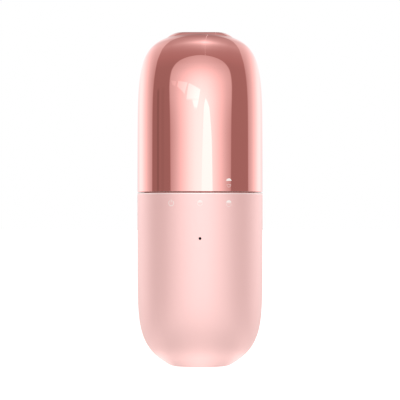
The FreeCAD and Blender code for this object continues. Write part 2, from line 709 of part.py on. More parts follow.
def bayonet_ring():
    """Ring in the cup's rim, with lugs that lock it and dogs that turn the switch ring."""
    ring = tube(RING_OUTER, RING_INNER, RING_BOTTOM, RING_BOTTOM + RING_HEIGHT)
    in_wall = (RING_OUTER + RING_INNER) / 2
    lug = sector(in_wall, LUG_INNER, -LUG_ANGLE / 2, LUG_ANGLE, LUG_BOTTOM, LUG_BOTTOM + LUG_HEIGHT)
    dog_low = SWITCH_RING_TOP - DOG_DEPTH
    dog = sector(SWITCH_RING_OUTER - FIT, RING_INNER, -DOG_ANGLE / 2, DOG_ANGLE, dog_low, RING_BOTTOM + 1)
    lugs = ring_of(lug, LUG_COUNT, FIRST_LUG_ANGLE)
    dogs = ring_of(dog, LUG_COUNT, FIRST_DOG_ANGLE)
    return joined([ring, *lugs, *dogs])


def pin_rod(radius, reach):
    return rod(radius, point(-reach, HINGE_Y, HINGE_Z), ALONG_X, 2 * reach)


def duct_ear(x_low):
    high = x_low + FLAP_EAR_WIDTH
    root = DUCT_OUTER - DUCT_WALL / 2
    outer = HINGE_Y + FLAP_BARREL_RADIUS
    arm = block(x_low, high, root, outer, HINGE_Z, DUCT_BOTTOM + FLAP_EAR_HEIGHT)
    under_wall = block(x_low - 1, high + 1, 0, DUCT_OUTER, HINGE_Z - 1, DUCT_BOTTOM)
    eye = rod(FLAP_BARREL_RADIUS, point(x_low, HINGE_Y, HINGE_Z), ALONG_X, FLAP_EAR_WIDTH)
    return arm.cut(under_wall).fuse(eye)


def inlet_duct():
    """Oblong tube behind the mouth, with the ears that carry the flap's pin."""
    sleeve = oblong(MOUTH_STRAIGHT, DUCT_OUTER, DUCT_BOTTOM, DUCT_TOP)
    flange = oblong(MOUTH_STRAIGHT, SEAT_END_RADIUS - FIT, SEAT_Z - DUCT_FLANGE_THICKNESS, SEAT_Z)
    ears = [duct_ear(PIN_REACH - FLAP_EAR_WIDTH), duct_ear(-PIN_REACH)]
    bore = oblong(MOUTH_STRAIGHT, MOUTH_END_RADIUS, DUCT_BOTTOM - 1, DUCT_TOP + 1)
    return joined([sleeve, flange, *ears]).cut([bore, pin_rod(FLAP_PIN_RADIUS, PIN_REACH + 1)])


def flap_pin():
    return pin_rod(FLAP_PIN_RADIUS, PIN_REACH)


def inlet_flap():
    """Soft flap that closes the duct and swings down when the fan draws."""
    low = FLAP_TOP - FLAP_THICKNESS
    leaf = oblong(MOUTH_STRAIGHT, MOUTH_END_RADIUS + FLAP_OVERLAP, low, FLAP_TOP)
    half = FLAP_BARREL_LENGTH / 2
    tail = block(-half, half, 0, HINGE_Y, low, FLAP_TOP)
    barrel = pin_rod(FLAP_BARREL_RADIUS, half)
    return joined([leaf, tail, barrel]).cut(pin_rod(FLAP_PIN_RADIUS + RUNNING_GAP, PIN_REACH))


# ---- filter ----------------------------------------------------------------------------------
def pull_tab():
    """Half-round grip that stands on the cap."""
    plate = rod(TAB_RADIUS, point(0, -TAB_THICKNESS / 2, FILTER_TOP), BACK, TAB_THICKNESS)
    return plate.common(disc(TAB_RADIUS, FILTER_TOP - FILTER_CAP / 2, FILTER_TOP + TAB_HEIGHT))


def filter_frame():
    base = tube(FILTER_BASE_RADIUS, FILTER_BORE, FILTER_BOTTOM, FILTER_BOTTOM + FILTER_BASE)
    cap = disc(FILTER_RADIUS, FILTER_TOP - FILTER_CAP, FILTER_TOP)
    cap = cap.makeFillet(FILTER_CAP / 2, circles_at(cap, FILTER_TOP, FILTER_RADIUS))
    low, high = FILTER_BOTTOM + FILTER_BASE / 2, FILTER_TOP - FILTER_CAP / 2
    rib = block(CAGE_INSIDE, FILTER_RADIUS, -RIB_WIDTH / 2, RIB_WIDTH / 2, low, high)
    rib = rib.common(tube(FILTER_RADIUS, CAGE_INSIDE, low, high))
    kerb = tube(FILTER_RADIUS, CAGE_INSIDE, low, FILTER_BOTTOM + 2 * FILTER_BASE)
    return joined([base, cap, kerb, *ring_of(rib, FILTER_RIBS), pull_tab()])


def filter_mesh():
    return tube(CAGE_INSIDE, CAGE_INSIDE - MESH_THICKNESS, PLEAT_BOTTOM, PLEAT_TOP)


def star(outer, depth):
    corners = []
    for i in range(2 * PLEATS):
        radius = outer if i % 2 == 0 else outer - depth
        corners.append(point(*on_circle(radius, 180.0 * i / PLEATS), PLEAT_BOTTOM))
    return Part.Face(Part.makePolygon([*corners, corners[0]]))


def filter_pleats():
    """Sheet of filter paper folded into a star."""
    sheet = star(PLEAT_OUTER, PLEAT_DEPTH).cut(star(PLEAT_OUTER - PLEAT_SHEET, PLEAT_DEPTH))
    return sheet.Faces[0].extrude(UP * (PLEAT_TOP - PLEAT_BOTTOM))


def filter_seal():
    return tube(FILTER_BASE_RADIUS - FIT, GUARD_HOLE_RADIUS + SLIDE_GAP, DECK_TOP, FILTER_BOTTOM)


# ---- fan -------------------------------------------------------------------------------------
def intake_guard():
    """Grille in the deck, between the filter and the fan."""
    low, high = DECK_TOP - GUARD_THICKNESS, DECK_TOP
    outer = GUARD_HOLE_RADIUS - FIT
    rim = tube(outer, EYE_RADIUS, DECK_BOTTOM, high)
    hub = disc(GUARD_HUB, low, high)
    middle = (EYE_RADIUS + GUARD_HUB) / 2
    band = tube(middle + GUARD_BAR / 2, middle - GUARD_BAR / 2, low, high)
    spoke = block(GUARD_BAR, EYE_RADIUS + GUARD_BAR, -GUARD_BAR / 2, GUARD_BAR / 2, low, high)
    return joined([rim, hub, band, *ring_of(spoke, GUARD_SPOKES)])


def fan_shroud():
    plate = tube(HOUSING_OUTER, EYE_RADIUS, SHROUD_BOTTOM, DECK_BOTTOM)
    return plate.makeChamfer(SHROUD / 3, circles_at(plate, SHROUD_BOTTOM, EYE_RADIUS))


def fan_housing():
    """Round housing for the fan, with ports that let the air out into the body."""
    cup = disc(HOUSING_OUTER, HOUSING_BOTTOM, SHROUD_BOTTOM)
    room = disc(HOUSING_INNER, HOUSING_FLOOR_TOP, SHROUD_BOTTOM + 1)
    boss_hole = disc(BUSH_RADIUS + BOSS_WALL + FIT, HOUSING_BOTTOM - 1, HOUSING_FLOOR_TOP + 1)
    port_top = SHROUD_BOTTOM - HOUSING_WALL
    port = sector(HOUSING_OUTER + 1, FAN_RADIUS, -PORT_ANGLE / 2, PORT_ANGLE, HOUSING_FLOOR_TOP, port_top)
    return cup.cut([room, boss_hole, *ring_of(port, HOUSING_PORTS)])


def blade_side(offset):
    """Three points along a blade, moved sideways by the offset."""
    z = FAN_BOTTOM + FAN_PLATE / 2
    root = HUB_RADIUS / 2
    points = []
    for share in (0.0, 0.5, 1.0):
        radius = root + (FAN_RADIUS + 1 - root) * share
        lean = -BLADE_SWEEP * share ** 1.3 + math.degrees(offset / radius)
        points.append(point(*on_circle(radius, lean), z))
    return points


def blade():
    """Backward-leaning blade, from inside the hub to past the wheel's rim."""
    front, back = blade_side(BLADE_THICKNESS / 2), blade_side(-BLADE_THICKNESS / 2)
    edges = [arc(*front), line(front[-1], back[-1]), arc(*reversed(back)), line(back[0], front[0])]
    return Part.Face(Part.Wire(edges)).extrude(UP * (FAN_HEIGHT - FAN_PLATE / 2))


def impeller():
    plate = disc(FAN_RADIUS, FAN_BOTTOM, FAN_BOTTOM + FAN_PLATE)
    hub = Part.makeCone(HUB_RADIUS, HUB_RADIUS / 2, FAN_HEIGHT, point(0, 0, FAN_BOTTOM), UP)
    trimmed = blade().common(disc(FAN_RADIUS, FAN_BOTTOM, FAN_TOP))
    wheel = joined([plate, hub, *ring_of(trimmed, FAN_BLADES)])
    return wheel.cut(disc(SHAFT_RADIUS, FAN_BOTTOM - 1, SHAFT_TOP))


# ---- motor -----------------------------------------------------------------------------------
def motor_can():
    can = disc(MOTOR_RADIUS, MOTOR_BOTTOM + ENDCAP, MOTOR_TOP)
    can = can.makeFillet(CAN_WALL, circles_at(can, MOTOR_TOP, MOTOR_RADIUS))
    boss = disc(BUSH_RADIUS + BOSS_WALL, MOTOR_TOP - CAN_WALL, HOUSING_FLOOR_TOP)
    room = disc(STATOR_OUTER, MOTOR_BOTTOM, MOTOR_TOP - CAN_WALL)
    return can.cut(room).fuse(boss).cut(disc(BUSH_RADIUS, MOTOR_BOTTOM, HOUSING_FLOOR_TOP + 1))


def motor_bush():
    return tube(BUSH_RADIUS, SHAFT_RADIUS + RUNNING_GAP, HOUSING_FLOOR_TOP - BUSH_LENGTH, HOUSING_FLOOR_TOP)


def motor_endcap():
    plate = disc(MOTOR_RADIUS, MOTOR_BOTTOM, MOTOR_BOTTOM + ENDCAP)
    low, high = MOTOR_BOTTOM + ENDCAP / 2, MOTOR_BOTTOM + 2 * ENDCAP
    kerb = tube(STATOR_OUTER - FIT, STATOR_OUTER - 2 * CAN_WALL, low, high)
    bearing = disc(BUSH_RADIUS + BOSS_WALL, low, high)
    hole = disc(SHAFT_RADIUS + RUNNING_GAP, low, high + 1)
    return joined([plate, kerb, bearing]).cut(hole)


def stator_magnets():
    """Two curved magnets inside the can."""
    low = MOTOR_BOTTOM + 2 * ENDCAP + FIT
    inner = STATOR_OUTER - STATOR_THICKNESS
    magnet = sector(STATOR_OUTER, inner, -STATOR_ANGLE / 2, STATOR_ANGLE, low, STATOR_TOP)
    return Part.makeCompound(ring_of(magnet, 2))


def armature():
    """Slotted core on the shaft."""
    outer = STATOR_OUTER - STATOR_THICKNESS - ARMATURE_GAP
    low, high = MOTOR_BOTTOM + 3 * ENDCAP, STATOR_TOP - ARMATURE_GAP
    half = ARMATURE_SLOT / 2
    slot = block(outer / 2, outer + 1, -half, half, low - 1, high + 1)
    core = tube(outer, SHAFT_RADIUS, low, high)
    return core.cut(ring_of(slot, ARMATURE_SLOTS))


def motor_shaft():
    return disc(SHAFT_RADIUS, MOTOR_BOTTOM + ENDCAP / 2 + FIT, SHAFT_TOP)


def motor_sleeve():
    """Rubber sleeve between the motor and its cage."""
    middle = (MOTOR_BOTTOM + MOTOR_TOP) / 2
    return tube(CAGE_INNER, MOTOR_RADIUS, middle - SLEEVE_HEIGHT / 2, middle + SLEEVE_HEIGHT / 2)


def motor_cage():
    """Cage round the motor, with the posts that the lock collar is screwed to."""
    wall = tube(CAGE_OUTER, CAGE_INNER, BULKHEAD_TOP, HOUSING_BOTTOM)
    low, high = BULKHEAD_TOP + 2 * CAGE_FLANGE, HOUSING_BOTTOM - 2 * CAGE_FLANGE
    window = sector(CAGE_OUTER + 1, CAGE_INNER - 1, 45 - CAGE_WINDOW_ANGLE / 2, CAGE_WINDOW_ANGLE, low, high)
    wall = wall.cut(ring_of(window, CAGE_WINDOWS))
    flange = tube(BULKHEAD_RADIUS, CAGE_INNER - CAGE_WALL, BULKHEAD_TOP, BULKHEAD_TOP + CAGE_FLANGE)
    posts = [disc(POST_RADIUS, BULKHEAD_TOP, DECK_BOTTOM, x, y) for x, y, _ in deck_screw_places()]
    half = RIB_WIDTH / 2
    root = CAGE_INNER + CAGE_WALL / 2
    arm = block(-half, half, -LAMP_BOARD_BACK, -root, INDICATOR_Z - half, INDICATOR_Z + half)
    return joined([wall, flange, arm, *posts]).cut([*deck_screw_holes(), *cage_screw_holes()])


# ---- battery and control board ---------------------------------------------------------------
def battery_cell(x):
    can_top = CELL_TOP - CELL_NUB_HEIGHT
    can = disc(CELL_RADIUS, CELL_BOTTOM, can_top, x)
    can = can.makeFillet(CELL_NUB_HEIGHT / 2, circles_at(can, can_top, CELL_RADIUS))
    return can.fuse(disc(CELL_NUB_RADIUS, can_top, CELL_TOP, x))


def battery_cells():
    return Part.makeCompound([battery_cell(-CELL_X), battery_cell(CELL_X)])


def cell_strip():
    """Nickel strip that joins the two cells."""
    return oblong(CELL_X, STRIP_HALF_WIDTH, CELL_TOP, CELL_TOP + STRIP_THICKNESS)


def battery_cradle():
    """Tray for the two cells, with the bulkhead above them and standoffs for the board."""
    sleeve = oblong(CELL_X, CRADLE_OUTER, CAVITY_BOTTOM, BULKHEAD_BOTTOM)
    bulkhead = disc(BULKHEAD_RADIUS, BULKHEAD_BOTTOM, BULKHEAD_TOP)
    reach = BOARD_FRONT - CRADLE_BORE
    standoffs = [rod(STANDOFF_RADIUS, point(x, CRADLE_BORE, z), BACK, reach) for x, z in standoff_places()]
    boss_low = BULKHEAD_BOTTOM - CAGE_BOSS_HEIGHT
    bosses = [disc(CAGE_BOSS_RADIUS, boss_low, BULKHEAD_BOTTOM, x, y) for x, y, _ in cage_screw_places()]
    cradle = joined([sleeve, bulkhead, *standoffs, *bosses])
    bores = [disc(CRADLE_BORE, CELL_BOTTOM, BULKHEAD_BOTTOM, x) for x in (-CELL_X, CELL_X)]
    width = STRIP_HALF_WIDTH + FIT
    strip_slot = block(-CELL_X, CELL_X, -width, width, CELL_TOP - CELL_NUB_HEIGHT, BULKHEAD_BOTTOM)
    middle = (CELL_BOTTOM + CELL_TOP) / 2
    low, high = middle - WINDOW_HALF_HEIGHT, middle + WINDOW_HALF_HEIGHT
    windows = block(-BODY_RADIUS, BODY_RADIUS, -CELL_RADIUS / 2, CELL_RADIUS / 2, low, high)
    cradle = cradle.cut([*bores, strip_slot, windows])
    cradle = cradle.cut([*cage_screw_holes(), *foot_screws_of(screw(FOOT_SCREW, FIT / 2))])
    cradle = cradle.cut(board_screws_of(screw(BOARD_SCREW, FIT / 2)))
    return cradle.common(body_solid(CAVITY_BOTTOM, BODY_HEIGHT, BODY_WALL + FIT))


def board_part(x, width, height, thickness):
    """Chip or coil on the back of the control board, half-way up."""
    middle = (BOARD_BOTTOM + BOARD_TOP) / 2
    low, high = middle - height / 2, middle + height / 2
    return block(x - width / 2, x + width / 2, BOARD_BACK, BOARD_BACK + thickness, low, high)


def control_board():
    board = block(-BOARD_HALF_WIDTH, BOARD_HALF_WIDTH, BOARD_FRONT, BOARD_BACK, BOARD_BOTTOM, BOARD_TOP)
    board = board.cut(board_screws_of(screw(BOARD_SCREW, FIT / 2)))
    charger = board_part(0, CHARGER_CHIP, CHARGER_CHIP, CHARGER_CHIP_THICKNESS)
    coil = board_part(COIL_X, COIL, COIL, COIL_THICKNESS)
    transistor = board_part(TRANSISTOR_X, TRANSISTOR_WIDTH, TRANSISTOR_HEIGHT, TRANSISTOR_THICKNESS)
    return joined([board, charger, coil, transistor])


def charging_socket():
    """Reversible charging socket: a folded steel skin and the contact tongue."""
    mouth = body_radius_at(SOCKET_Z) - SOCKET_SUNK
    skin = socket_prism(0, BOARD_BACK, mouth)
    room = socket_prism(-SOCKET_SKIN, mouth - SOCKET_DEPTH, mouth + 1)
    half = TONGUE_THICKNESS / 2
    reach = SOCKET_HALF_WIDTH - SOCKET_HALF_HEIGHT
    tongue = block(-reach, reach, mouth - SOCKET_DEPTH - 1, mouth - 1, SOCKET_Z - half, SOCKET_Z + half)
    return skin.cut(room).fuse(tongue)


PIECES = [
    body_shell, foot_pad, foot_screws, exhaust_grille, indicator_lens, indicator_board,
    lock_collar, neck_seal, hall_sensor, deck_screws, intake_guard, fan_shroud, fan_housing,
    motor_can, motor_bush, motor_endcap, stator_magnets, motor_sleeve, motor_cage, cage_screws,
    battery_cradle, battery_cells, cell_strip, control_board, board_screws, charging_socket,
    impeller, armature, motor_shaft, switch_ring, switch_magnet,
    cup_shell, bayonet_ring, inlet_duct, flap_pin, inlet_flap,
    filter_frame, filter_mesh, filter_pleats, filter_seal,
]


def main():
    os.makedirs("parts", exist_ok=True)
    for make in PIECES:
        make().exportStep("parts/" + make.__name__ + ".step")


main()
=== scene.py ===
import bpy
import math
import numpy as np
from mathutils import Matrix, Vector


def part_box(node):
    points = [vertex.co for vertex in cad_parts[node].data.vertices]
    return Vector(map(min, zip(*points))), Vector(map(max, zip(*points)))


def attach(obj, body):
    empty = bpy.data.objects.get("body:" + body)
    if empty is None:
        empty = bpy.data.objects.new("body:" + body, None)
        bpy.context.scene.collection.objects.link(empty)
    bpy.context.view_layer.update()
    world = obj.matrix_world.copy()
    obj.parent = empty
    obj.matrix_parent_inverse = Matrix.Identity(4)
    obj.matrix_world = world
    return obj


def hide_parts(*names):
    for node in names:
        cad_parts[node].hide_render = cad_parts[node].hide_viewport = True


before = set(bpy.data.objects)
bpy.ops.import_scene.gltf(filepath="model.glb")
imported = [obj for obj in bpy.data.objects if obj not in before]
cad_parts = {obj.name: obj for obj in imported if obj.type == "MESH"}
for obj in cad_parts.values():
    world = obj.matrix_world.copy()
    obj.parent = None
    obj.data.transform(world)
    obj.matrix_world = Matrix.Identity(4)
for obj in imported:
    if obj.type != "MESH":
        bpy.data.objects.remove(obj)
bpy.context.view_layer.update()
SCENE = bpy.context.scene
MM = 0.001
RANDOM_GREY = 1           # the cell pattern's second output


def top_of(node, axis=2):
    """Highest place of a solid along an axis, in millimetres to the nearest hundredth."""
    return round(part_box(node)[1][axis] / MM, 2)


def foot_of(node):
    """Lowest place of a solid, in millimetres to the nearest hundredth."""
    return round(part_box(node)[0][2] / MM, 2)


# ---- cup and body, in millimetres --------------------------------------------
BODY_RADIUS = top_of("cup_shell", axis=0)
BODY_TOP = top_of("body_shell")
CUP_BOTTOM = foot_of("cup_shell")
SEAM = (BODY_TOP + CUP_BOTTOM) / 2
BODY_BEVEL = 0.35         # bevel round the body's top edge
SEAM_SHADE_BLUR = 0.02         # half the width of the soft edge of the painted seam shade on the bevel
EDGE_HIGHLIGHT_BAND = (1.0, 0.8)  # below the top edge: where the painted highlight starts, and where it is full
RIM_ROUND = 0.15          # rounding of the cup's rim
RIM_STEPS = 6
CUP_WALL = 1.8
DOME_REACH = 85.3         # seam to crown
DOME_BARREL = 7.35        # how late the dome turns in
DOME_SHOULDER = 3.07      # how square its shoulder is
DOME_TURN = 0.9           # share of the reach where its points change from steps up to steps inward
INNER_WALL = (0.95, 0.91)  # how full the dome's formula is as its wall turns from outside to inside
BEND_WEIGHT = 12.0        # millimetres of spacing that a bend of one radian counts for
COLUMNS = 360             # columns of faces round the cup
SKIRT_RINGS = 14
OUTER_RINGS = 120
INNER_RINGS = 40

# ---- lip round the mouth -----------------------------------------------------
LIP_TOP = top_of("cup_shell")
LIP_STRAIGHT = 7.2        # half the straight run of the oblong lip
LIP_FLAT = 5.95           # end radius of its level top
LIP_ARC = 11.2            # radius of the skirt's section
LIP_LEAN = 0.24           # the skirt's slope at the top, in radians
LIP_DROP = 3.4
MOUTH_END = 4.8           # end radius of the hole for the duct
MOUTH_ROUND = 0.2         # rounding of the hole's edge
MOUTH_STEPS = 4
SEAT_END = 7.3            # end radius of the duct's seat inside the crown
SEAT_Z = 174.6

# ---- printed marks -----------------------------------------------------------
MARK_STEP = 26.5          # degrees between the marks
INK = 0.012               # how far the print stands out
INK_ROOT = 0.03           # how far it reaches into the surface
FINE_LINE = 0.28          # line width of the ring mark
HAIR_LINE = 0.12          # line width of the bowl marks
CUP_CAP_FOOT = 99.45      # heights of the cap's flat side and of the bowl's brim, mark by mark
CUP_BOWL_BRIM = 97.55
OPEN_CAP_FOOT = 88.0
OPEN_BOWL_BRIM = 87.5
CLOSED_CAP_FOOT = 88.05
CLOSED_BOWL_BRIM = 87.85
RING_MIDDLE = 87.8

# ---- filter cloth and foot pad -----------------------------------------------
CLOTH_OUTER = top_of("filter_mesh", axis=0)
CLOTH_BOTTOM = foot_of("filter_mesh")
CLOTH_TOP = top_of("filter_mesh")
CLOTH_THICKNESS = 0.5     # four wire radii: two wires cross in it
CLOTH_UPRIGHTS = 132      # even, so that the rings close
CLOTH_RINGS = 31
PAD_RADIUS = top_of("foot_pad", axis=0)
PAD_THICKNESS = top_of("foot_pad")
PAD_EDGE = 0.27           # rounding of its lower edge
PAD_COLUMNS = 120
GROOVES = 4
FIRST_GROOVE = 3.4        # radius of the innermost groove
GROOVE_PITCH = 2.4
GROOVE_DEPTH = 0.35
GROOVE_BRIM = 0.45        # half its width at the surface
GROOVE_FLOOR = 0.25       # half its width at the bottom

# ---- studio: angles in degrees from straight ahead, to the right and up ------
WINDOW_MIDDLE = 1.45
WINDOW_TOP = 48.87
WINDOW_SIDE_POWER = 1.6   # the two powers set how square the window's corners are
WINDOW_TOP_POWER = 3.2
PANES = [[(-55.0, 15.8), (-45.0, 14.8), (-46.0, 12.0), (-52.0, 12.8)],
         [(-40.5, 14.8), (-22.5, 13.3), (-28.2, 8.3), (-42.3, 11.6)],
         [(-20.6, 13.0), (1.0, 9.7), (-2.1, 6.6), (-24.8, 6.7)],
         [(-14.6, 6.6), (-2.1, 6.6), (-5.2, 4.9), (-10.8, 5.0)]]
WINDOW_EDGE = (1.05, 0.935)  # soft edges from outside to inside: the window's as its formula gives it,
PANE_EDGE = (-0.25, 0.35)    # the others in degrees past the line
GAP_EDGE = (-0.6, 1.0)
ARCH_EDGE = (-1.5, 1.5)
WALL_RISE = (20.0, 100.0)    # heights between which the walls' low light gives way to their high light
CROWN_RISE = (128.0, 146.0)  # and that to the light from straight overhead
HIGH_WALL_LEVEL = 1.25
PANE_LIFT = 0.255         # how much brighter a pane is than the window
FAINT_PANE = 0.6          # the first pane's share of that
SLIT_TOP = 11.0
SLIT_SHADE = 0.22
OVERHEAD_LEVEL = 0.575
STUDIO_STRENGTH = 2.0
SHADE_RED = 1.46          # red for each green in the shade
HALF_LIT_RED = (0.745, 0.212)  # slope and start of the red where the light is middling
BLUE = (1.03, -0.02)      # slope and start of the blue
CAMERA_LENS = 156.03      # millimetres, as the sensor
CAMERA_SENSOR = 36.0
CAMERA_SHIFT = 0.02245
CAMERA_DISTANCE = 0.940   # metres, as the rest
CAMERA_HEIGHT = 0.0847
FLOOR_HALF = 6.0
FLOOR_SEEN = 0.85         # glow that the camera sees
FLOOR_TINT = (0.955, 0.93, 0.915, 1)


# ---- small tools for node trees ----------------------------------------------
def put(tree, kind, wires=None, **settings):
    """One node with its settings; wires maps an input to a socket or a value."""
    node = tree.nodes.new(kind)
    for name, value in settings.items():
        setattr(node, name, value)
    for key, value in (wires or {}).items():
        wire(tree, value, node.inputs[key])
    return node


def result(tree, kind, wires=None, **settings):
    """First output of a new node."""
    return put(tree, kind, wires, **settings).outputs[0]


def wire(tree, value, target):
    if isinstance(value, bpy.types.NodeSocket):
        tree.links.new(value, target)
    else:
        target.default_value = value


def sums(tree, operation, *values):
    """Result of one Math node."""
    return result(tree, "ShaderNodeMath", dict(enumerate(values)), operation=operation)


def plus(tree, first, second):
    return sums(tree, "ADD", first, second)


def minus(tree, first, second):
    return sums(tree, "SUBTRACT", first, second)


def times(tree, product, *factors):
    for factor in factors:
        product = sums(tree, "MULTIPLY", product, factor)
    return product


def diagonal(tree, first, second):
    """Length of a line whose two parts stand square to each other."""
    return sums(tree, "SQRT", plus(tree, times(tree, first, first), times(tree, second, second)))


def levelled(tree, place):
    """A place with its height taken out."""
    return result(tree, "ShaderNodeVectorMath", {0: place, 1: (1, 1, 0)}, operation="MULTIPLY")


def ramp(tree, value, *stops):
    """Grey ramp through (place, brightness) stops; the value is read from 0 to 1."""
    node = put(tree, "ShaderNodeValToRGB", {0: value})
    band = node.color_ramp
    for place, grey in stops[1:-1]:
        band.elements.new(place).color = (grey, grey, grey, 1)
    ends = (band.elements[0], stops[0]), (band.elements[-1], stops[-1])
    for element, (place, grey) in ends:
        element.position = place
        element.color = (grey, grey, grey, 1)
    return node.outputs[0]


def curve(tree, value, *stops, full=1.0):
    """Level through (place, level) stops, in the value's own units; full is what a ramp's 1 stands for."""
    low, high = stops[0][0], stops[-1][0]
    way = sums(tree, "DIVIDE", minus(tree, value, low), high - low)
    level = ramp(tree, way, *[((place - low) / (high - low), level / full) for place, level in stops])
    return level if full == 1.0 else times(tree, level, full)


def share_of_way(tree, value, low, high):
    """0 below low, 1 above high, straight between."""
    return result(tree, "ShaderNodeMapRange", {0: value, 1: low, 2: high})


def step_up(tree, value, start, end):
    """0 before start, 1 past end, smooth between; the value may fall from start to end."""
    way = {0: value, 1: start, 2: end}
    return result(tree, "ShaderNodeMapRange", way, interpolation_type="SMOOTHSTEP")


def blend(tree, factor, first, second):
    """Mix of two colours."""
    node = put(tree, "ShaderNodeMix", data_type="RGBA")
    wire(tree, factor, node.inputs[0])
    wire(tree, first, node.inputs[6])
    wire(tree, second, node.inputs[7])
    return node.outputs[2]


def between(tree, factor, first, second):
    """Mix of two numbers."""
    return result(tree, "ShaderNodeMix", {0: factor, 2: first, 3: second}, data_type="FLOAT")


def noise(tree, place, scale, detail=2.0, stretch=None):
    """Noise value at a scale in waves per metre, stretched along the axes if asked."""
    if stretch:
        place = result(tree, "ShaderNodeMapping", {0: place, 3: stretch})
    return result(tree, "ShaderNodeTexNoise", {"Vector": place, "Scale": scale, "Detail": detail})


def cells(tree, place, scale, output=0):
    """Distance to the middle of the cell, or with RANDOM_GREY one random level for each cell."""
    found = put(tree, "ShaderNodeTexVoronoi", {"Vector": place, "Scale": scale}).outputs[output]
    return result(tree, "ShaderNodeSeparateColor", {0: found}) if output == RANDOM_GREY else found


# ---- studio ------------------------------------------------------------------
def studio_angles(tree):
    """Degrees sideways and upward from straight ahead (-Y), for the direction looked in."""
    toward = put(tree, "ShaderNodeTexCoord").outputs["Generated"]
    x, y, z = put(tree, "ShaderNodeSeparateXYZ", {0: toward}).outputs
    turn = times(tree, sums(tree, "ARCCOSINE", times(tree, y, -1.0)), 180 / math.pi)
    scale = sums(tree, "DIVIDE", turn, sums(tree, "MAXIMUM", diagonal(tree, x, z), 1e-5))
    return times(tree, x, scale), times(tree, z, scale)


def window_light(tree, side, above):
    """Wide front window with round corners, brightest low in the middle."""
    across = sums(tree, "ABSOLUTE", minus(tree, side, WINDOW_MIDDLE))
    height = sums(tree, "ABSOLUTE", above)
    upward = curve(tree, height, (0.0, 0.94), (6.0, 0.91), (14.0, 0.78), (26.0, 0.52), (34.0, 0.405),
                   (60.0, 0.24))
    sideways = curve(tree, across, (0.0, 1.0), (10.0, 0.95), (20.0, 0.835), (36.0, 0.575), (48.0, 0.385),
                     (60.0, 0.235))
    evened = curve(tree, height, (0.0, 0.0), (3.0, 0.0), (8.0, 0.15), (32.0, 0.55), (60.0, 0.55))
    glow = times(tree, upward, between(tree, evened, sideways, 1.0))
    half_width = curve(tree, height, (0.0, 57.4), (2.3, 58.2), (4.1, 58.6), (7.2, 59.7), (12.0, 60.8),
                       (25.0, 61.3), (30.0, 60.7), (60.0, 60.7), full=100.0)
    wide = sums(tree, "POWER", sums(tree, "DIVIDE", across, half_width), WINDOW_SIDE_POWER)
    high = sums(tree, "POWER", sums(tree, "DIVIDE", height, WINDOW_TOP), WINDOW_TOP_POWER)
    return times(tree, glow, step_up(tree, plus(tree, wide, high), *WINDOW_EDGE))


def pane(tree, side, above, corners):
    """1 inside a convex pane whose corners run clockwise, given as degrees sideways and up."""
    inside = 1.0
    for (x1, z1), (x2, z2) in zip(corners, corners[1:] + corners[:1]):
        length = math.hypot(x2 - x1, z2 - z1)
        off_x, off_z = (z2 - z1) / length, -(x2 - x1) / length
        away = plus(tree, times(tree, side, off_x), times(tree, above, off_z))
        depth = minus(tree, away, off_x * x1 + off_z * z1)
        inside = times(tree, inside, step_up(tree, depth, *PANE_EDGE))
    return inside


def with_panes(tree, side, above, window):
    """The window with its slanted panes: a faint one at the left, then two bright ones."""
    lit = times(tree, pane(tree, side, above, PANES[0]), FAINT_PANE)
    for corners in PANES[1:]:
        lit = plus(tree, lit, pane(tree, side, above, corners))
    return times(tree, window, plus(tree, times(tree, lit, PANE_LIFT), 1.0))


def bright_gap(tree, side, above):
    """Strip of bare daylight right of the middle that narrows to a point above and below."""
    height = sums(tree, "ABSOLUTE", above)
    middle = curve(tree, height, (0.0, 12.6), (2.3, 13.0), (3.5, 12.5), (5.2, 11.8), (6.2, 10.8),
                   (7.1, 10.0), (10.0, 10.0), full=20.0)
    half = curve(tree, height, (0.0, 10.9), (0.8, 10.6), (2.3, 9.1), (3.5, 7.2), (5.0, 5.7), (5.8, 3.9),
                 (6.6, 1.8), (7.1, 0.0), (10.0, 0.0), full=20.0)
    depth = minus(tree, half, sums(tree, "ABSOLUTE", minus(tree, side, middle)))
    level = sums(tree, "MULTIPLY_ADD", height, 0.012, 1.02)
    return times(tree, step_up(tree, depth, *GAP_EDGE), level)


def screen_light(tree, side, above):
    """Dark screens round the window, with two darker slits low on the left."""
    dark = curve(tree, above, (0.0, 0.13), (30.0, 0.135), (60.0, 0.172), (86.0, 0.228), (124.0, 0.225),
                 (138.0, 0.17), (180.0, 0.165))
    leftward = curve(tree, side, (-100.0, 0.9), (0.0, 0.97), (100.0, 1.0))
    slit = curve(tree, side, (-100.0, 0.0), (-86.5, 0.0), (-84.5, 1.0), (-81.5, 1.0), (-79.5, 0.0),
                 (-77.0, 0.0), (-74.0, 0.3), (-70.0, 0.3), (-68.0, 0.0), (100.0, 0.0))
    slit = times(tree, slit, step_up(tree, above, SLIT_TOP + 3.0, SLIT_TOP))
    return times(tree, dark, leftward, sums(tree, "MULTIPLY_ADD", slit, -SLIT_SHADE, 1.0))


def overhead_light(tree, side, above):
    """Soft strip above the object, a little to the right."""
    height = times(tree, plus(tree, above, diagonal(tree, side, above)), 0.5)
    along = curve(tree, height, (0.0, 0.0), (46.0, 0.01), (64.0, 0.10), (80.0, 0.315), (88.0, 0.585),
                  (96.0, 1.0), (100.0, 0.86), (110.0, 0.39), (124.0, 0.08), (142.0, 0.0), (180.0, 0.0))
    across = curve(tree, side, (-100.0, 0.03), (-56.0, 0.05), (-32.0, 0.21), (-16.0, 0.435), (0.0, 0.74),
                   (8.0, 1.0), (16.0, 0.80), (24.0, 0.54), (40.0, 0.235), (56.0, 0.08), (100.0, 0.02))
    return times(tree, along, across, OVERHEAD_LEVEL)


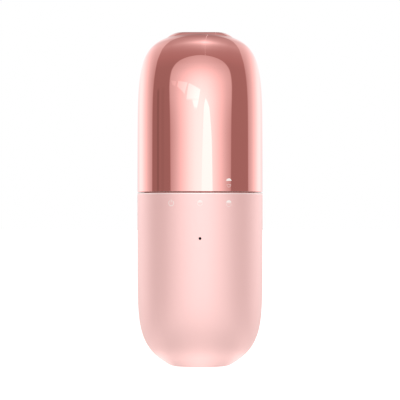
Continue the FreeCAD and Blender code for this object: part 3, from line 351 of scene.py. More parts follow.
def wall_light(tree, side, above):
    """Bright walls at the sides and back, brightest three quarters of the way round."""
    beside = sums(tree, "ABSOLUTE", side)
    low = curve(tree, beside, (0.0, 0.20), (90.0, 0.23), (97.0, 0.265), (108.0, 0.405), (124.0, 0.65),
                (133.0, 0.78), (142.0, 0.78), (156.0, 0.56), (168.0, 0.44), (180.0, 0.38))
    high = curve(tree, beside, (0.0, 0.30), (48.0, 0.33), (60.0, 0.385), (88.0, 0.45), (116.0, 0.56),
                 (180.0, 0.58))
    lift = curve(tree, above, (0.0, 0.8), (125.0, 0.8), (145.0, 1.0), (180.0, 1.0))
    overhead = curve(tree, beside, (0.0, 0.13), (18.0, 0.17), (25.0, 0.22), (42.0, 0.38), (56.0, 0.50),
                     (180.0, 0.56))
    high = times(tree, high, lift, HIGH_WALL_LEVEL)
    high = between(tree, share_of_way(tree, above, *CROWN_RISE), high, overhead)
    return between(tree, share_of_way(tree, above, *WALL_RISE), low, high)


def past_arch(tree, side, above):
    """Degrees past the arch at which the walls take over from what stands in front."""
    half_width = curve(tree, above, (0.0, 98.8), (10.0, 97.5), (44.0, 90.5), (80.0, 79.5), (98.0, 70.5),
                       (116.0, 59.0), (130.0, 45.5), (140.0, 31.0), (155.0, 0.0), (180.0, 0.0), full=100.0)
    middle = curve(tree, above, (0.0, 0.5), (50.0, 0.7), (80.0, 2.0), (120.0, 4.0), (180.0, 9.0), full=10.0)
    return minus(tree, sums(tree, "ABSOLUTE", minus(tree, side, middle)), half_width)


def surround_colour(tree, light):
    """The light's level as a colour: warm in the shade, neutral where it is bright."""
    strength = times(tree, light, STUDIO_STRENGTH)
    in_shade = times(tree, strength, SHADE_RED)
    half_lit = sums(tree, "MULTIPLY_ADD", strength, *HALF_LIT_RED)
    red = sums(tree, "MAXIMUM", strength, sums(tree, "MINIMUM", in_shade, half_lit))
    blue = sums(tree, "MULTIPLY_ADD", strength, *BLUE)
    return result(tree, "ShaderNodeCombineColor", {0: red, 1: strength, 2: blue})


def studio_light():
    """Soft surround: a wide window ahead, dark screens beside it, bright walls at the sides and back."""
    world = bpy.data.worlds.new("studio")
    world.use_nodes = True
    tree = world.node_tree
    tree.nodes.clear()
    side, above = studio_angles(tree)
    window = with_panes(tree, side, above, window_light(tree, side, above))
    window = sums(tree, "MAXIMUM", window, bright_gap(tree, side, above))
    screens = plus(tree, screen_light(tree, side, above), overhead_light(tree, side, above))
    front = sums(tree, "MAXIMUM", window, screens)
    beyond = step_up(tree, past_arch(tree, side, above), *ARCH_EDGE)
    light = between(tree, beyond, front, wall_light(tree, side, above))

    studio = result(tree, "ShaderNodeBackground", {0: surround_colour(tree, light)})
    paper = result(tree, "ShaderNodeBackground", {0: (1, 1, 1, 1)})
    seen = put(tree, "ShaderNodeLightPath").outputs["Is Camera Ray"]
    mixed = result(tree, "ShaderNodeMixShader", {0: seen, 1: studio, 2: paper})
    put(tree, "ShaderNodeOutputWorld", {0: mixed})
    SCENE.world = world


def studio_camera():
    data = bpy.data.cameras.new("camera")
    data.lens = CAMERA_LENS
    data.sensor_width = CAMERA_SENSOR
    data.shift_y = CAMERA_SHIFT
    camera = bpy.data.objects.new("camera", data)
    camera.location = (0.0, -CAMERA_DISTANCE, CAMERA_HEIGHT)
    camera.rotation_euler = (math.pi / 2, 0.0, 0.0)
    SCENE.collection.objects.link(camera)
    SCENE.camera = camera


def floor_glow(tree, place):
    """What the table top gives back to the object, by distance from the foot and by direction."""
    away = put(tree, "ShaderNodeVectorMath", {0: place}, operation="LENGTH").outputs["Value"]
    forward = put(tree, "ShaderNodeSeparateXYZ", {0: place}).outputs[1]
    facing = sums(tree, "DIVIDE", times(tree, forward, -1.0), sums(tree, "MAXIMUM", away, 0.001))
    level = curve(tree, away, (0.0, 0.9), (0.017, 0.9), (0.025, 1.16), (0.034, 0.78), (0.06, 0.75),
                  (0.12, 0.9), (0.5, 1.02), (1.0, 1.02))
    near = curve(tree, facing, (-1.0, 1.1), (0.2, 1.25), (0.45, 1.1), (0.62, 0.9), (0.84, 0.91),
                 (0.95, 1.03), (1.0, 1.14))
    far = curve(tree, facing, (-1.0, 0.8), (-0.6, 1.12), (-0.2, 1.0), (-0.12, 0.74), (0.49, 0.74),
                (0.55, 0.97), (0.8, 1.12), (1.0, 1.25))
    share = curve(tree, away, (0.0, 0.0), (0.05, 0.0), (0.12, 1.0), (1.0, 1.0))
    return times(tree, level, between(tree, share, near, far))


def pale_floor():
    """White table top, which glows back at the object as the window, the screens and the walls light it."""
    paint = bpy.data.materials.new("pale_floor")
    paint.use_nodes = True
    tree = paint.node_tree
    tree.nodes.clear()
    place = put(tree, "ShaderNodeTexCoord").outputs["Object"]
    pale = blend(tree, noise(tree, place, 3.0), (0.90, 0.90, 0.90, 1), (0.92, 0.92, 0.92, 1))
    seen = put(tree, "ShaderNodeLightPath").outputs["Is Camera Ray"]
    shade = blend(tree, seen, (0.1, 0.1, 0.1, 1), pale)
    surface = put(tree, "ShaderNodeBsdfPrincipled", {"Base Color": shade, "Roughness": 0.9})
    wire(tree, blend(tree, seen, FLOOR_TINT, pale), surface.inputs["Emission Color"])
    glow = between(tree, seen, floor_glow(tree, place), FLOOR_SEEN)
    wire(tree, glow, surface.inputs["Emission Strength"])
    put(tree, "ShaderNodeOutputMaterial", {0: surface.outputs[0]})
    return paint


def studio_floor():
    mesh = bpy.data.meshes.new("floor")
    corners = [(FLOOR_HALF * x, FLOOR_HALF * y, 0) for x, y in ((-1, -1), (1, -1), (1, 1), (-1, 1))]
    mesh.from_pydata(corners, [], [(0, 1, 2, 3)])
    mesh.materials.append(pale_floor())
    floor = bpy.data.objects.new("floor", mesh)
    SCENE.collection.objects.link(floor)


# ---- finishes ----------------------------------------------------------------
def finish(name, metallic=0.0):
    """A Principled surface and the tree it stands in."""
    paint = bpy.data.materials.new(name)
    paint.use_nodes = True
    tree = paint.node_tree
    tree.nodes.clear()
    surface = put(tree, "ShaderNodeBsdfPrincipled", {"Metallic": metallic})
    put(tree, "ShaderNodeOutputMaterial", {0: surface.outputs[0]})
    place = put(tree, "ShaderNodeTexCoord").outputs["Object"]
    return paint, tree, surface, place


def bumped(surface, height, depth, strength):
    """Fine relief, depth in millimetres."""
    tree = surface.id_data
    bump = put(tree, "ShaderNodeBump", {"Strength": strength, "Distance": depth * MM, "Height": height})
    wire(tree, bump.outputs[0], surface.inputs["Normal"])


def inside_cup(tree, place):
    """1 on the cup's inner wall, 0 on its outside, from how full the dome's formula is there."""
    flat = levelled(tree, place)
    radius = put(tree, "ShaderNodeVectorMath", {0: flat}, operation="LENGTH").outputs["Value"]
    height = put(tree, "ShaderNodeSeparateXYZ", {0: place}).outputs[2]
    out = sums(tree, "POWER", sums(tree, "DIVIDE", radius, BODY_RADIUS * MM), DOME_SHOULDER)
    rise = sums(tree, "DIVIDE", minus(tree, height, SEAM * MM), DOME_REACH * MM)
    up = sums(tree, "POWER", sums(tree, "MAXIMUM", rise, 0.0), DOME_BARREL)
    return step_up(tree, plus(tree, out, up), *INNER_WALL)


def plated_rose():
    """Mirror plating with hairline wiping marks outside; bare, cloudy rose plastic inside."""
    paint, tree, surface, place = finish("plated_rose")
    inside = inside_cup(tree, place)
    wiped = noise(tree, place, 260.0, 3.0, (6.0, 6.0, 0.5))
    hairs = ramp(tree, wiped, (0.0, 0.02), (0.55, 0.03), (1.0, 0.06))
    cloud = noise(tree, place, 18.0)
    matt = sums(tree, "MULTIPLY_ADD", cloud, 0.2, 0.28)
    wire(tree, between(tree, inside, hairs, matt), surface.inputs["Roughness"])
    plating = blend(tree, cloud, (0.97, 0.47, 0.435, 1), (0.95, 0.455, 0.42, 1))
    bare = blend(tree, cloud, (0.66, 0.50, 0.48, 1), (0.58, 0.43, 0.41, 1))
    wire(tree, blend(tree, inside, plating, bare), surface.inputs["Base Color"])
    wire(tree, minus(tree, 1.0, inside), surface.inputs["Metallic"])
    return paint


def shell_satin():
    """Satin lacquer over pink plastic, with fine flake; a painted highlight in a band just below the top
    edge, and painted shade on its bevel for the dark seam to the cup.
    """
    paint, tree, surface, place = finish("shell_satin")
    flake = cells(tree, place, 2600.0, RANDOM_GREY)
    cloud = noise(tree, place, 35.0, 3.0)
    tone = blend(tree, cloud, (0.97, 0.645, 0.625, 1), (0.96, 0.635, 0.615, 1))
    height = put(tree, "ShaderNodeSeparateXYZ", {0: place}).outputs[2]
    # painted highlight: a lighter band just below the top edge, where the edge catches the light
    edge_highlight = step_up(tree, height, *[(BODY_TOP - below) * MM for below in EDGE_HIGHLIGHT_BAND])
    # painted shade: the bevel turns dark red and loses its metal, for the shade in the seam to the cup
    bevel_foot = BODY_TOP - BODY_BEVEL
    seam_shade = step_up(tree, height, (bevel_foot - SEAM_SHADE_BLUR) * MM, (bevel_foot + SEAM_SHADE_BLUR) * MM)
    # the painted highlight lightens the colour in that band
    tone = blend(tree, edge_highlight, tone, (1.0, 0.86, 0.84, 1))
    # the painted seam shade darkens the bevel
    wire(tree, blend(tree, seam_shade, tone, (0.64, 0.28, 0.255, 1)), surface.inputs["Base Color"])
    wire(tree, between(tree, seam_shade, 0.55, 0.0), surface.inputs["Metallic"])
    polished(surface, flake, 0.36, 0.44)
    bumped(surface, noise(tree, place, 1800.0, 3.0), 0.03, 0.35)
    return paint


def tinted(surface, value, first, second):
    """Base colour that wanders between two colours."""
    tree = surface.id_data
    wire(tree, blend(tree, value, (*first, 1), (*second, 1)), surface.inputs["Base Color"])


def polished(surface, value, low, high):
    """Roughness that runs from low to high with the value."""
    tree = surface.id_data
    wire(tree, ramp(tree, value, (0.0, low), (1.0, high)), surface.inputs["Roughness"])


def inner_plastic():
    """Warm white ABS with a fine spark-eroded grain and faint flow marks."""
    paint, tree, surface, place = finish("inner_plastic")
    flow = noise(tree, place, 40.0, 3.0, (1.0, 1.0, 0.35))
    tinted(surface, flow, (0.80, 0.775, 0.75), (0.765, 0.74, 0.71))
    polished(surface, noise(tree, place, 900.0), 0.36, 0.5)
    bumped(surface, noise(tree, place, 2400.0, 3.0), 0.02, 0.6)
    return paint


def dark_plastic():
    """Charcoal ABS, etched."""
    paint, tree, surface, place = finish("dark_plastic")
    tinted(surface, noise(tree, place, 60.0, 3.0), (0.052, 0.052, 0.057), (0.036, 0.036, 0.04))
    polished(surface, noise(tree, place, 700.0), 0.4, 0.6)
    bumped(surface, cells(tree, place, 1500.0), 0.03, 0.5)
    return paint


def filter_plastic():
    """Pale rose polypropylene, a little cloudy, with drag marks along the draw."""
    paint, tree, surface, place = finish("filter_plastic")
    tinted(surface, noise(tree, place, 55.0, 3.0), (0.82, 0.68, 0.65), (0.77, 0.63, 0.60))
    drag = noise(tree, place, 700.0, 2.0, (1.0, 1.0, 0.06))
    polished(surface, drag, 0.26, 0.42)
    bumped(surface, drag, 0.02, 0.5)
    return paint


def filter_paper():
    """Creamy filter paper: short crossing fibres pressed flat."""
    paint, tree, surface, place = finish("filter_paper")
    lying = noise(tree, place, 900.0, 4.0, (0.3, 0.3, 1.6))
    standing = noise(tree, place, 900.0, 4.0, (1.6, 1.6, 0.25))
    fibres = sums(tree, "MAXIMUM", lying, standing)
    tinted(surface, fibres, (0.74, 0.69, 0.58), (0.93, 0.90, 0.82))
    polished(surface, fibres, 0.8, 0.98)
    bumped(surface, fibres, 0.08, 0.8)
    return paint


def mesh_steel():
    """Drawn stainless wire with die lines and grey dust in its hollows."""
    paint, tree, surface, place = finish("mesh_steel", metallic=1.0)
    tinted(surface, noise(tree, place, 220.0, 3.0), (0.68, 0.68, 0.69), (0.52, 0.51, 0.50))
    polished(surface, noise(tree, place, 2500.0), 0.2, 0.42)
    bumped(surface, noise(tree, place, 5000.0), 0.01, 0.4)
    return paint


def silicone():
    """Milky silicone, matt, with lint that clings to it."""
    paint, tree, surface, place = finish("silicone")
    lint = ramp(tree, cells(tree, place, 450.0), (0.0, 1.0), (0.12, 0.0), (1.0, 0.0))
    cloud = noise(tree, place, 120.0, 3.0)
    tone = blend(tree, cloud, (0.76, 0.73, 0.70, 1), (0.71, 0.68, 0.65, 1))
    wire(tree, blend(tree, lint, tone, (0.82, 0.80, 0.78, 1)), surface.inputs["Base Color"])
    polished(surface, cloud, 0.48, 0.64)
    bumped(surface, noise(tree, place, 1600.0), 0.02, 0.5)
    return paint


def pad_rubber():
    """Grey rubber with a stippled skin."""
    paint, tree, surface, place = finish("pad_rubber")
    stipple = cells(tree, place, 1100.0)
    tinted(surface, noise(tree, place, 150.0, 3.0), (0.165, 0.155, 0.155), (0.125, 0.118, 0.118))
    polished(surface, stipple, 0.74, 0.94)
    bumped(surface, stipple, 0.06, 0.7)
    return paint


def lens_smoked():
    """Smoked acrylic, polished, with the odd fine scratch."""
    paint, tree, surface, place = finish("lens_smoked")
    surface.inputs["Specular IOR Level"].default_value = 0.15
    scratch = noise(tree, place, 1500.0, 2.0, (0.2, 1.0, 3.0))
    tinted(surface, noise(tree, place, 400.0), (0.004, 0.004, 0.005), (0.008, 0.006, 0.007))
    polished(surface, scratch, 0.03, 0.12)
    return paint


def sensor_case():
    """Black moulding compound with coarse filler grain."""
    paint, tree, surface, place = finish("sensor_case")
    grain = noise(tree, place, 3500.0, 3.0)
    tinted(surface, grain, (0.014, 0.014, 0.014), (0.032, 0.031, 0.03))
    polished(surface, grain, 0.46, 0.66)
    bumped(surface, grain, 0.02, 0.6)
    return paint


def circuit_board():
    """Green solder mask over copper tracks, with plated through-holes."""
    paint, tree, surface, place = finish("circuit_board")
    x, _, z = put(tree, "ShaderNodeSeparateXYZ", {0: place}).outputs
    flat = result(tree, "ShaderNodeCombineXYZ", {0: x, 1: z})
    bricks = {"Vector": flat, "Scale": 420.0, "Mortar Size": 0.11, "Row Height": 0.42, "Brick Width": 1.7}
    track = put(tree, "ShaderNodeTexBrick", bricks).outputs["Fac"]
    mask = blend(tree, track, (0.012, 0.085, 0.035, 1), (0.035, 0.19, 0.075, 1))
    hole = ramp(tree, cells(tree, flat, 260.0), (0.0, 1.0), (0.10, 1.0), (0.14, 0.0), (1.0, 0.0))
    wire(tree, blend(tree, hole, mask, (0.74, 0.66, 0.44, 1)), surface.inputs["Base Color"])
    polished(surface, track, 0.24, 0.36)
    bumped(surface, track, 0.03, 0.5)
    return paint


def cell_wrap():
    """Blue shrink sleeve, glossy, puckered where it shrank."""
    paint, tree, surface, place = finish("cell_wrap")
    pucker = noise(tree, place, 260.0, 2.0, (1.0, 1.0, 0.12))
    tinted(surface, noise(tree, place, 90.0, 3.0), (0.034, 0.125, 0.39), (0.022, 0.09, 0.31))
    polished(surface, pucker, 0.18, 0.34)
    bumped(surface, pucker, 0.08, 0.5)
    return paint


def motor_steel():
    """Zinc-plated sheet with a fine spangle."""
    paint, tree, surface, place = finish("motor_steel", metallic=1.0)
    spangle = cells(tree, place, 520.0, RANDOM_GREY)
    tinted(surface, spangle, (0.66, 0.66, 0.67), (0.52, 0.53, 0.55))
    polished(surface, spangle, 0.2, 0.42)
    return paint


def ferrite():
    """Sintered ferrite: dead matt, with tiny chips."""
    paint, tree, surface, place = finish("ferrite")
    chips = ramp(tree, cells(tree, place, 700.0), (0.0, 0.0), (0.18, 1.0), (1.0, 1.0))
    tinted(surface, chips, (0.11, 0.11, 0.115), (0.05, 0.05, 0.053))
    polished(surface, noise(tree, place, 1500.0), 0.7, 0.9)
    bumped(surface, chips, 0.06, 0.6)
    return paint


def bush_bronze():
    """Oil-filled sintered bronze, full of dark pores."""
    paint, tree, surface, place = finish("bush_bronze", metallic=1.0)
    pores = ramp(tree, cells(tree, place, 3000.0), (0.0, 0.0), (0.25, 0.3), (0.4, 1.0), (1.0, 1.0))
    tinted(surface, pores, (0.20, 0.12, 0.05), (0.70, 0.47, 0.22))
    polished(surface, pores, 0.62, 0.34)
    bumped(surface, pores, 0.03, 0.6)
    return paint


def fan_aluminium():
    """Turned aluminium with the tool's rings round the shaft."""
    paint, tree, surface, place = finish("fan_aluminium", metallic=1.0)
    x, y, _ = put(tree, "ShaderNodeSeparateXYZ", {0: place}).outputs
    waves = sums(tree, "SINE", times(tree, diagonal(tree, x, y), 21000.0))
    rings = sums(tree, "MULTIPLY_ADD", waves, 0.5, 0.5)
    tinted(surface, noise(tree, place, 200.0, 3.0), (0.80, 0.80, 0.82), (0.70, 0.70, 0.72))
    polished(surface, rings, 0.2, 0.4)
    bumped(surface, rings, 0.02, 0.5)
    return paint


def screw_steel():
    """Bright zinc with a faint blue and straw bloom."""
    paint, tree, surface, place = finish("screw_steel", metallic=1.0)
    tinted(surface, noise(tree, place, 420.0, 3.0), (0.70, 0.68, 0.62), (0.62, 0.65, 0.70))
    polished(surface, noise(tree, place, 1800.0, 3.0), 0.16, 0.38)
    bumped(surface, noise(tree, place, 2600.0), 0.01, 0.5)
    return paint


def magnet_nickel():
    """Bright nickel over a slightly dented magnet."""
    paint, tree, surface, place = finish("magnet_nickel", metallic=1.0)
    dents = noise(tree, place, 1200.0)
    tinted(surface, dents, (0.74, 0.72, 0.68), (0.66, 0.64, 0.60))
    polished(surface, dents, 0.05, 0.18)
    bumped(surface, dents, 0.02, 0.4)
    return paint


def mark_ink():
    """Ivory pad print, slightly uneven in cover."""
    paint, tree, surface, place = finish("mark_ink")
    cover = noise(tree, place, 2400.0)
    tinted(surface, cover, (1.0, 0.94, 0.905), (0.98, 0.91, 0.875))
    polished(surface, cover, 0.45, 0.6)
    return paint


# ---- meshes ------------------------------------------------------------------
def piece(name, points, faces, paint, body, smooth=True):
    """A mesh object that rides on a body; its points are in millimetres."""
    mesh = bpy.data.meshes.new(name)
    mesh.from_pydata((np.asarray(points, dtype=float) * MM).tolist(), [], faces)
    mesh.materials.append(paint)
    if smooth:
        mesh.shade_smooth()
    made = bpy.data.objects.new(name, mesh)
    SCENE.collection.objects.link(made)
    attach(made, body)
    return made


def crease(mesh, is_sharp):
    """Marks the edges sharp for which is_sharp(first vertex, second vertex) holds."""
    ends = np.zeros(len(mesh.edges) * 2, dtype=int)
    mesh.edges.foreach_get("vertices", ends)
    flags = is_sharp(ends[0::2], ends[1::2])
    mesh.attributes.new("sharp_edge", "BOOLEAN", "EDGE").data.foreach_set("value", flags)


# ---- dust cup ----------------------------------------------------------------
def dome_turn_radius(radius):
    """Radius of the dome where its points change from steps up to steps inward."""
    return radius * (1 - DOME_TURN ** DOME_BARREL) ** (1 / DOME_SHOULDER)


def dome_point(along, radius, rise):
    """Radius and height above the seam on a dome, from the rim (0) to the crown (1)."""
    along = np.asarray(along, dtype=float)
    low_z = 2 * along * DOME_TURN * rise
    low_r = radius * np.clip(1 - (low_z / rise) ** DOME_BARREL, 0, 1) ** (1 / DOME_SHOULDER)
    high_r = 2 * (1 - along) * dome_turn_radius(radius)
    high_z = rise * np.clip(1 - (high_r / radius) ** DOME_SHOULDER, 0, 1) ** (1 / DOME_BARREL)
    low = along < 0.5
    return np.where(low, low_r, high_r), np.where(low, low_z, high_z)


def dome_height(r, radius, rise):
    return SEAM + rise * np.clip(1 - (r / radius) ** DOME_SHOULDER, 0, 1) ** (1 / DOME_BARREL)


def dome_spacing(radius, rise):
    """Distance walked along the dome, with extra for its bends, against the place along it."""
    along = np.linspace(0, 1, 2001)
    r, z = dome_point(along, radius, rise)
    step_r, step_z = np.diff(r), np.diff(z)
    heading = np.unwrap(np.arctan2(step_z, step_r))
    bend = np.abs(np.diff(heading, prepend=heading[0]))
    walked = np.concatenate([[0], np.cumsum(np.hypot(step_r, step_z) + BEND_WEIGHT * bend)])
    return along, walked


def oblong_reach(angle, distance):
    """Distance from the axis to the outline that runs round the mouth's straight line."""
    across, off = np.abs(np.cos(angle)), np.abs(np.sin(angle))
    side = distance / np.maximum(off, 1e-9)
    end = LIP_STRAIGHT * across + np.sqrt(np.maximum(distance ** 2 - (LIP_STRAIGHT * off) ** 2, 0))
    return np.where(side * across <= LIP_STRAIGHT, side, end)


def lip_skirt(angle, turn):
    """Reach and height of the lip's skirt at a slope."""
    reach = oblong_reach(angle, LIP_FLAT + LIP_ARC * (np.sin(turn) - math.sin(LIP_LEAN)))
    return reach, LIP_TOP - LIP_ARC * (math.cos(LIP_LEAN) - np.cos(turn))


def lip_foot(angle):
    """Slope at which the lip's skirt runs into the dome."""
    low = np.full_like(angle, LIP_LEAN)
    high = np.full_like(angle, math.acos(math.cos(LIP_LEAN) - LIP_DROP / LIP_ARC))
    for _ in range(40):
        middle = (low + high) / 2
        reach, lip_z = lip_skirt(angle, middle)
        above = lip_z > dome_height(reach, BODY_RADIUS, DOME_REACH)
        low = np.where(above, middle, low)
        high = np.where(above, high, middle)
    return (low + high) / 2


def dome_rings(start_r, radius, rise, count, downward):
    """Rings between start_r, which may differ from column to column, and the rim's height."""
    along, walked = dome_spacing(radius, rise)
    start = np.interp(1 - start_r / (2 * dome_turn_radius(radius)), along, walked)
    rim = np.interp((CUP_BOTTOM + RIM_ROUND - SEAM) / (2 * DOME_TURN * rise), along, walked)
    shares = np.linspace(0, 1, count + 1)[1:] if downward else np.linspace(1, 0, count + 1)[:-1]
    rings = []
    for share in shares:
        r, z = dome_point(np.interp(start + (rim - start) * share, walked, along), radius, rise)
        rings.append((r, z + SEAM))
    return rings


def quarter_turn(steps):
    """Even turns of a rounding, from the first step to a quarter of the way round."""
    return np.radians(np.linspace(0, 90, steps + 1)[1:])


def cup_rings(angle):
    """Rings of the cup's section: up through the mouth, down the outside, round the rim, up the inside."""
    level = np.ones_like(angle)

    def round_mouth(distance, z):
        return oblong_reach(angle, distance), z * level

    rings = [round_mouth(MOUTH_END, SEAT_Z), round_mouth(MOUTH_END, LIP_TOP - MOUTH_ROUND)]
    for turn in quarter_turn(MOUTH_STEPS):
        rings.append(round_mouth(MOUTH_END + MOUTH_ROUND * (1 - np.cos(turn)),
                                 LIP_TOP - MOUTH_ROUND * (1 - np.sin(turn))))
    rings.append(round_mouth(LIP_FLAT, LIP_TOP))
    creases = [0, 1, len(rings) - 1]
    foot = lip_foot(angle)
    for share in np.linspace(0, 1, SKIRT_RINGS + 1)[1:]:
        rings.append(lip_skirt(angle, LIP_LEAN + (foot - LIP_LEAN) * share))
    creases.append(len(rings) - 1)
    rings += dome_rings(rings[-1][0], BODY_RADIUS, DOME_REACH, OUTER_RINGS, downward=True)
    creases.append(len(rings) - 1)
    for turn in quarter_turn(RIM_STEPS):
        rings.append(((BODY_RADIUS - RIM_ROUND * (1 - math.cos(turn))) * level,
                      (CUP_BOTTOM + RIM_ROUND * (1 - math.sin(turn))) * level))
    creases += [len(rings) - 1, len(rings)]
    inner_radius, inner_rise = BODY_RADIUS - CUP_WALL, DOME_REACH - CUP_WALL
    rings.append((inner_radius * level, CUP_BOTTOM * level))
    seat = oblong_reach(angle, SEAT_END)
    rings += dome_rings(seat, inner_radius, inner_rise, INNER_RINGS, downward=False)
    rings.append((seat, dome_height(seat, inner_radius, inner_rise)))
    creases += [len(rings) - 1, len(rings)]
    rings.append((seat, SEAT_Z * level))
    return rings, creases


def dust_cup(paint):
    """Plated cup with its oblong lip, rounded rim and inner wall, as one closed shell."""
    angle = np.linspace(0, 2 * math.pi, COLUMNS, endpoint=False)
    rings, creases = cup_rings(angle)
    points = np.array([[r * np.cos(angle), r * np.sin(angle), z] for r, z in rings])
    points = points.transpose(0, 2, 1).reshape(-1, 3)
    count = len(rings)
    faces = []
    for ring in range(count):
        below = (ring + 1) % count
        for column in range(COLUMNS):
            after = (column + 1) % COLUMNS
            faces.append((ring * COLUMNS + column, below * COLUMNS + column,
                          below * COLUMNS + after, ring * COLUMNS + after))
    cup = piece("dust_cup", points, faces, paint, "cup")

    def along_crease(first, second):
        same_ring = first // COLUMNS == second // COLUMNS
        return same_ring & np.isin(first // COLUMNS, creases)

    crease(cup.data, along_crease)
    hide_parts("cup_shell")


# ---- woven filter mesh -------------------------------------------------------
def turned_copies(tree, shape, count):
    """Copies of a shape at even angles round the Z axis."""
    spots = result(tree, "GeometryNodeMeshLine", {"Count": count, "Offset": (0.0, 0.0, 0.0)})
    index = result(tree, "GeometryNodeInputIndex")
    angle = sums(tree, "DIVIDE", times(tree, index, 2 * math.pi), count)
    facing = result(tree, "ShaderNodeCombineXYZ", {2: angle})
    copies = {"Points": spots, "Instance": shape, "Rotation": facing}
    return result(tree, "GeometryNodeInstanceOnPoints", copies)


def stacked_copies(tree, shape, count, low, pitch):
    """Copies of a shape one above the other."""
    start = result(tree, "ShaderNodeCombineXYZ", {2: sums(tree, "MULTIPLY_ADD", pitch, 0.5, low)})
    step = result(tree, "ShaderNodeCombineXYZ", {2: pitch})
    line = {"Count": count, "Start Location": start, "Offset": step}
    spots = result(tree, "GeometryNodeMeshLine", line)
    return result(tree, "GeometryNodeInstanceOnPoints", {"Points": spots, "Instance": shape})


def woven(tree, wires, per_wire, phase, swing):
    """Bends each wire in and out over the wires that it crosses; every next one goes the other way."""
    wires = result(tree, "GeometryNodeRealizeInstances", {0: wires})
    index = result(tree, "GeometryNodeInputIndex")
    place = result(tree, "GeometryNodeInputPosition")
    number = sums(tree, "FLOOR", sums(tree, "DIVIDE", plus(tree, index, 0.5), per_wire))
    along = minus(tree, index, times(tree, number, per_wire))
    bend = sums(tree, "SINE", sums(tree, "MULTIPLY_ADD", along, math.pi / 2, phase))
    side = sums(tree, "COSINE", times(tree, number, math.pi))
    amount = times(tree, bend, side, swing)
    flat = levelled(tree, place)
    outward = result(tree, "ShaderNodeVectorMath", {0: flat}, operation="NORMALIZE")
    shift = result(tree, "ShaderNodeVectorMath", {0: outward, "Scale": amount}, operation="SCALE")
    return result(tree, "GeometryNodeSetPosition", {"Geometry": wires, "Offset": shift})


def round_curve(tree, corners, radius):
    sizes = {"Resolution": corners, "Radius": radius}
    return result(tree, "GeometryNodeCurvePrimitiveCircle", sizes)


def weave_tree(paint):
    """Wire cloth round a cylinder: uprights and rings that pass over and under each other."""
    tree = bpy.data.node_groups.new("woven_cylinder", "GeometryNodeTree")
    tree.interface.new_socket("Geometry", in_out="OUTPUT", socket_type="NodeSocketGeometry")
    for name, kind in (("Radius", "Float"), ("Bottom", "Float"), ("Pitch", "Float"), ("Wire", "Float"),
                       ("Uprights", "Int"), ("Rings", "Int")):
        tree.interface.new_socket(name, in_out="INPUT", socket_type="NodeSocket" + kind)
    radius, bottom, pitch, wire_radius, uprights, rings, _ = put(tree, "NodeGroupInput").outputs
    top = sums(tree, "MULTIPLY_ADD", rings, pitch, bottom)
    foot = result(tree, "ShaderNodeCombineXYZ", {0: radius, 2: bottom})
    head = result(tree, "ShaderNodeCombineXYZ", {0: radius, 2: top})
    line = result(tree, "GeometryNodeCurvePrimitiveLine", {"Start": foot, "End": head})
    on_line = sums(tree, "MULTIPLY_ADD", rings, 2.0, 1.0)
    line = result(tree, "GeometryNodeResampleCurve", {"Curve": line, "Count": on_line})
    standing = woven(tree, turned_copies(tree, line, uprights), on_line, 0.0, wire_radius)
    on_ring = times(tree, uprights, 2.0)
    circle = round_curve(tree, on_ring, radius)
    stack = stacked_copies(tree, circle, rings, bottom, pitch)
    lying = woven(tree, stack, on_ring, -math.pi / 2, wire_radius)
    both = put(tree, "GeometryNodeJoinGeometry")
    wire(tree, standing, both.inputs[0])
    wire(tree, lying, both.inputs[0])
    section = round_curve(tree, 4, wire_radius)
    sweep = {"Curve": both.outputs[0], "Profile Curve": section, "Fill Caps": True}
    cloth = result(tree, "GeometryNodeCurveToMesh", sweep)
    cloth = result(tree, "GeometryNodeSetShadeSmooth", {0: cloth})
    cloth = result(tree, "GeometryNodeRealizeInstances", {0: cloth})
    cloth = result(tree, "GeometryNodeSetMaterial", {0: cloth, "Material": paint})
    put(tree, "NodeGroupOutput", {0: cloth})
    return tree


def grown(name, tree, **inputs):
    """Mesh made by a node group whose named inputs are set first."""
    host = bpy.data.objects.new(name, bpy.data.meshes.new(name + "_host"))
    SCENE.collection.objects.link(host)
    grower = host.modifiers.new("grower", "NODES")
    grower.node_group = tree
    for socket in tree.interface.items_tree:
        if socket.name in inputs:
            grower[socket.identifier] = inputs[socket.name]
    host.update_tag()
    depsgraph = bpy.context.evaluated_depsgraph_get()
    mesh = bpy.data.meshes.new_from_object(host.evaluated_get(depsgraph))
    host.modifiers.remove(grower)
    host.data = mesh
    return host


def filter_weave(paint):
    """Wire cloth round the pleats, as wide as the sleeve that it stands in for."""
    made = grown("filter_weave", weave_tree(paint), Radius=(CLOTH_OUTER - CLOTH_THICKNESS / 2) * MM,
                 Bottom=CLOTH_BOTTOM * MM, Pitch=(CLOTH_TOP - CLOTH_BOTTOM) / CLOTH_RINGS * MM,
                 Wire=CLOTH_THICKNESS / 4 * MM, Uprights=CLOTH_UPRIGHTS, Rings=CLOTH_RINGS)
    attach(made, "filter")
    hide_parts("filter_mesh")


# ---- foot pad ----------------------------------------------------------------
def pad_section():
    """Half section of the pad from its first groove, out along the underside and up the edge."""
    section = []
    for groove in range(GROOVES):
        middle = FIRST_GROOVE + groove * GROOVE_PITCH
        section += [(middle - GROOVE_BRIM, 0.0), (middle - GROOVE_FLOOR, GROOVE_DEPTH),
                    (middle + GROOVE_FLOOR, GROOVE_DEPTH), (middle + GROOVE_BRIM, 0.0)]
    section += [(PAD_RADIUS - PAD_EDGE * (1 - math.sin(t)), PAD_EDGE * (1 - math.cos(t)))
                for t in np.radians(np.linspace(0, 90, 6))]
    return section + [(PAD_RADIUS, PAD_THICKNESS)]


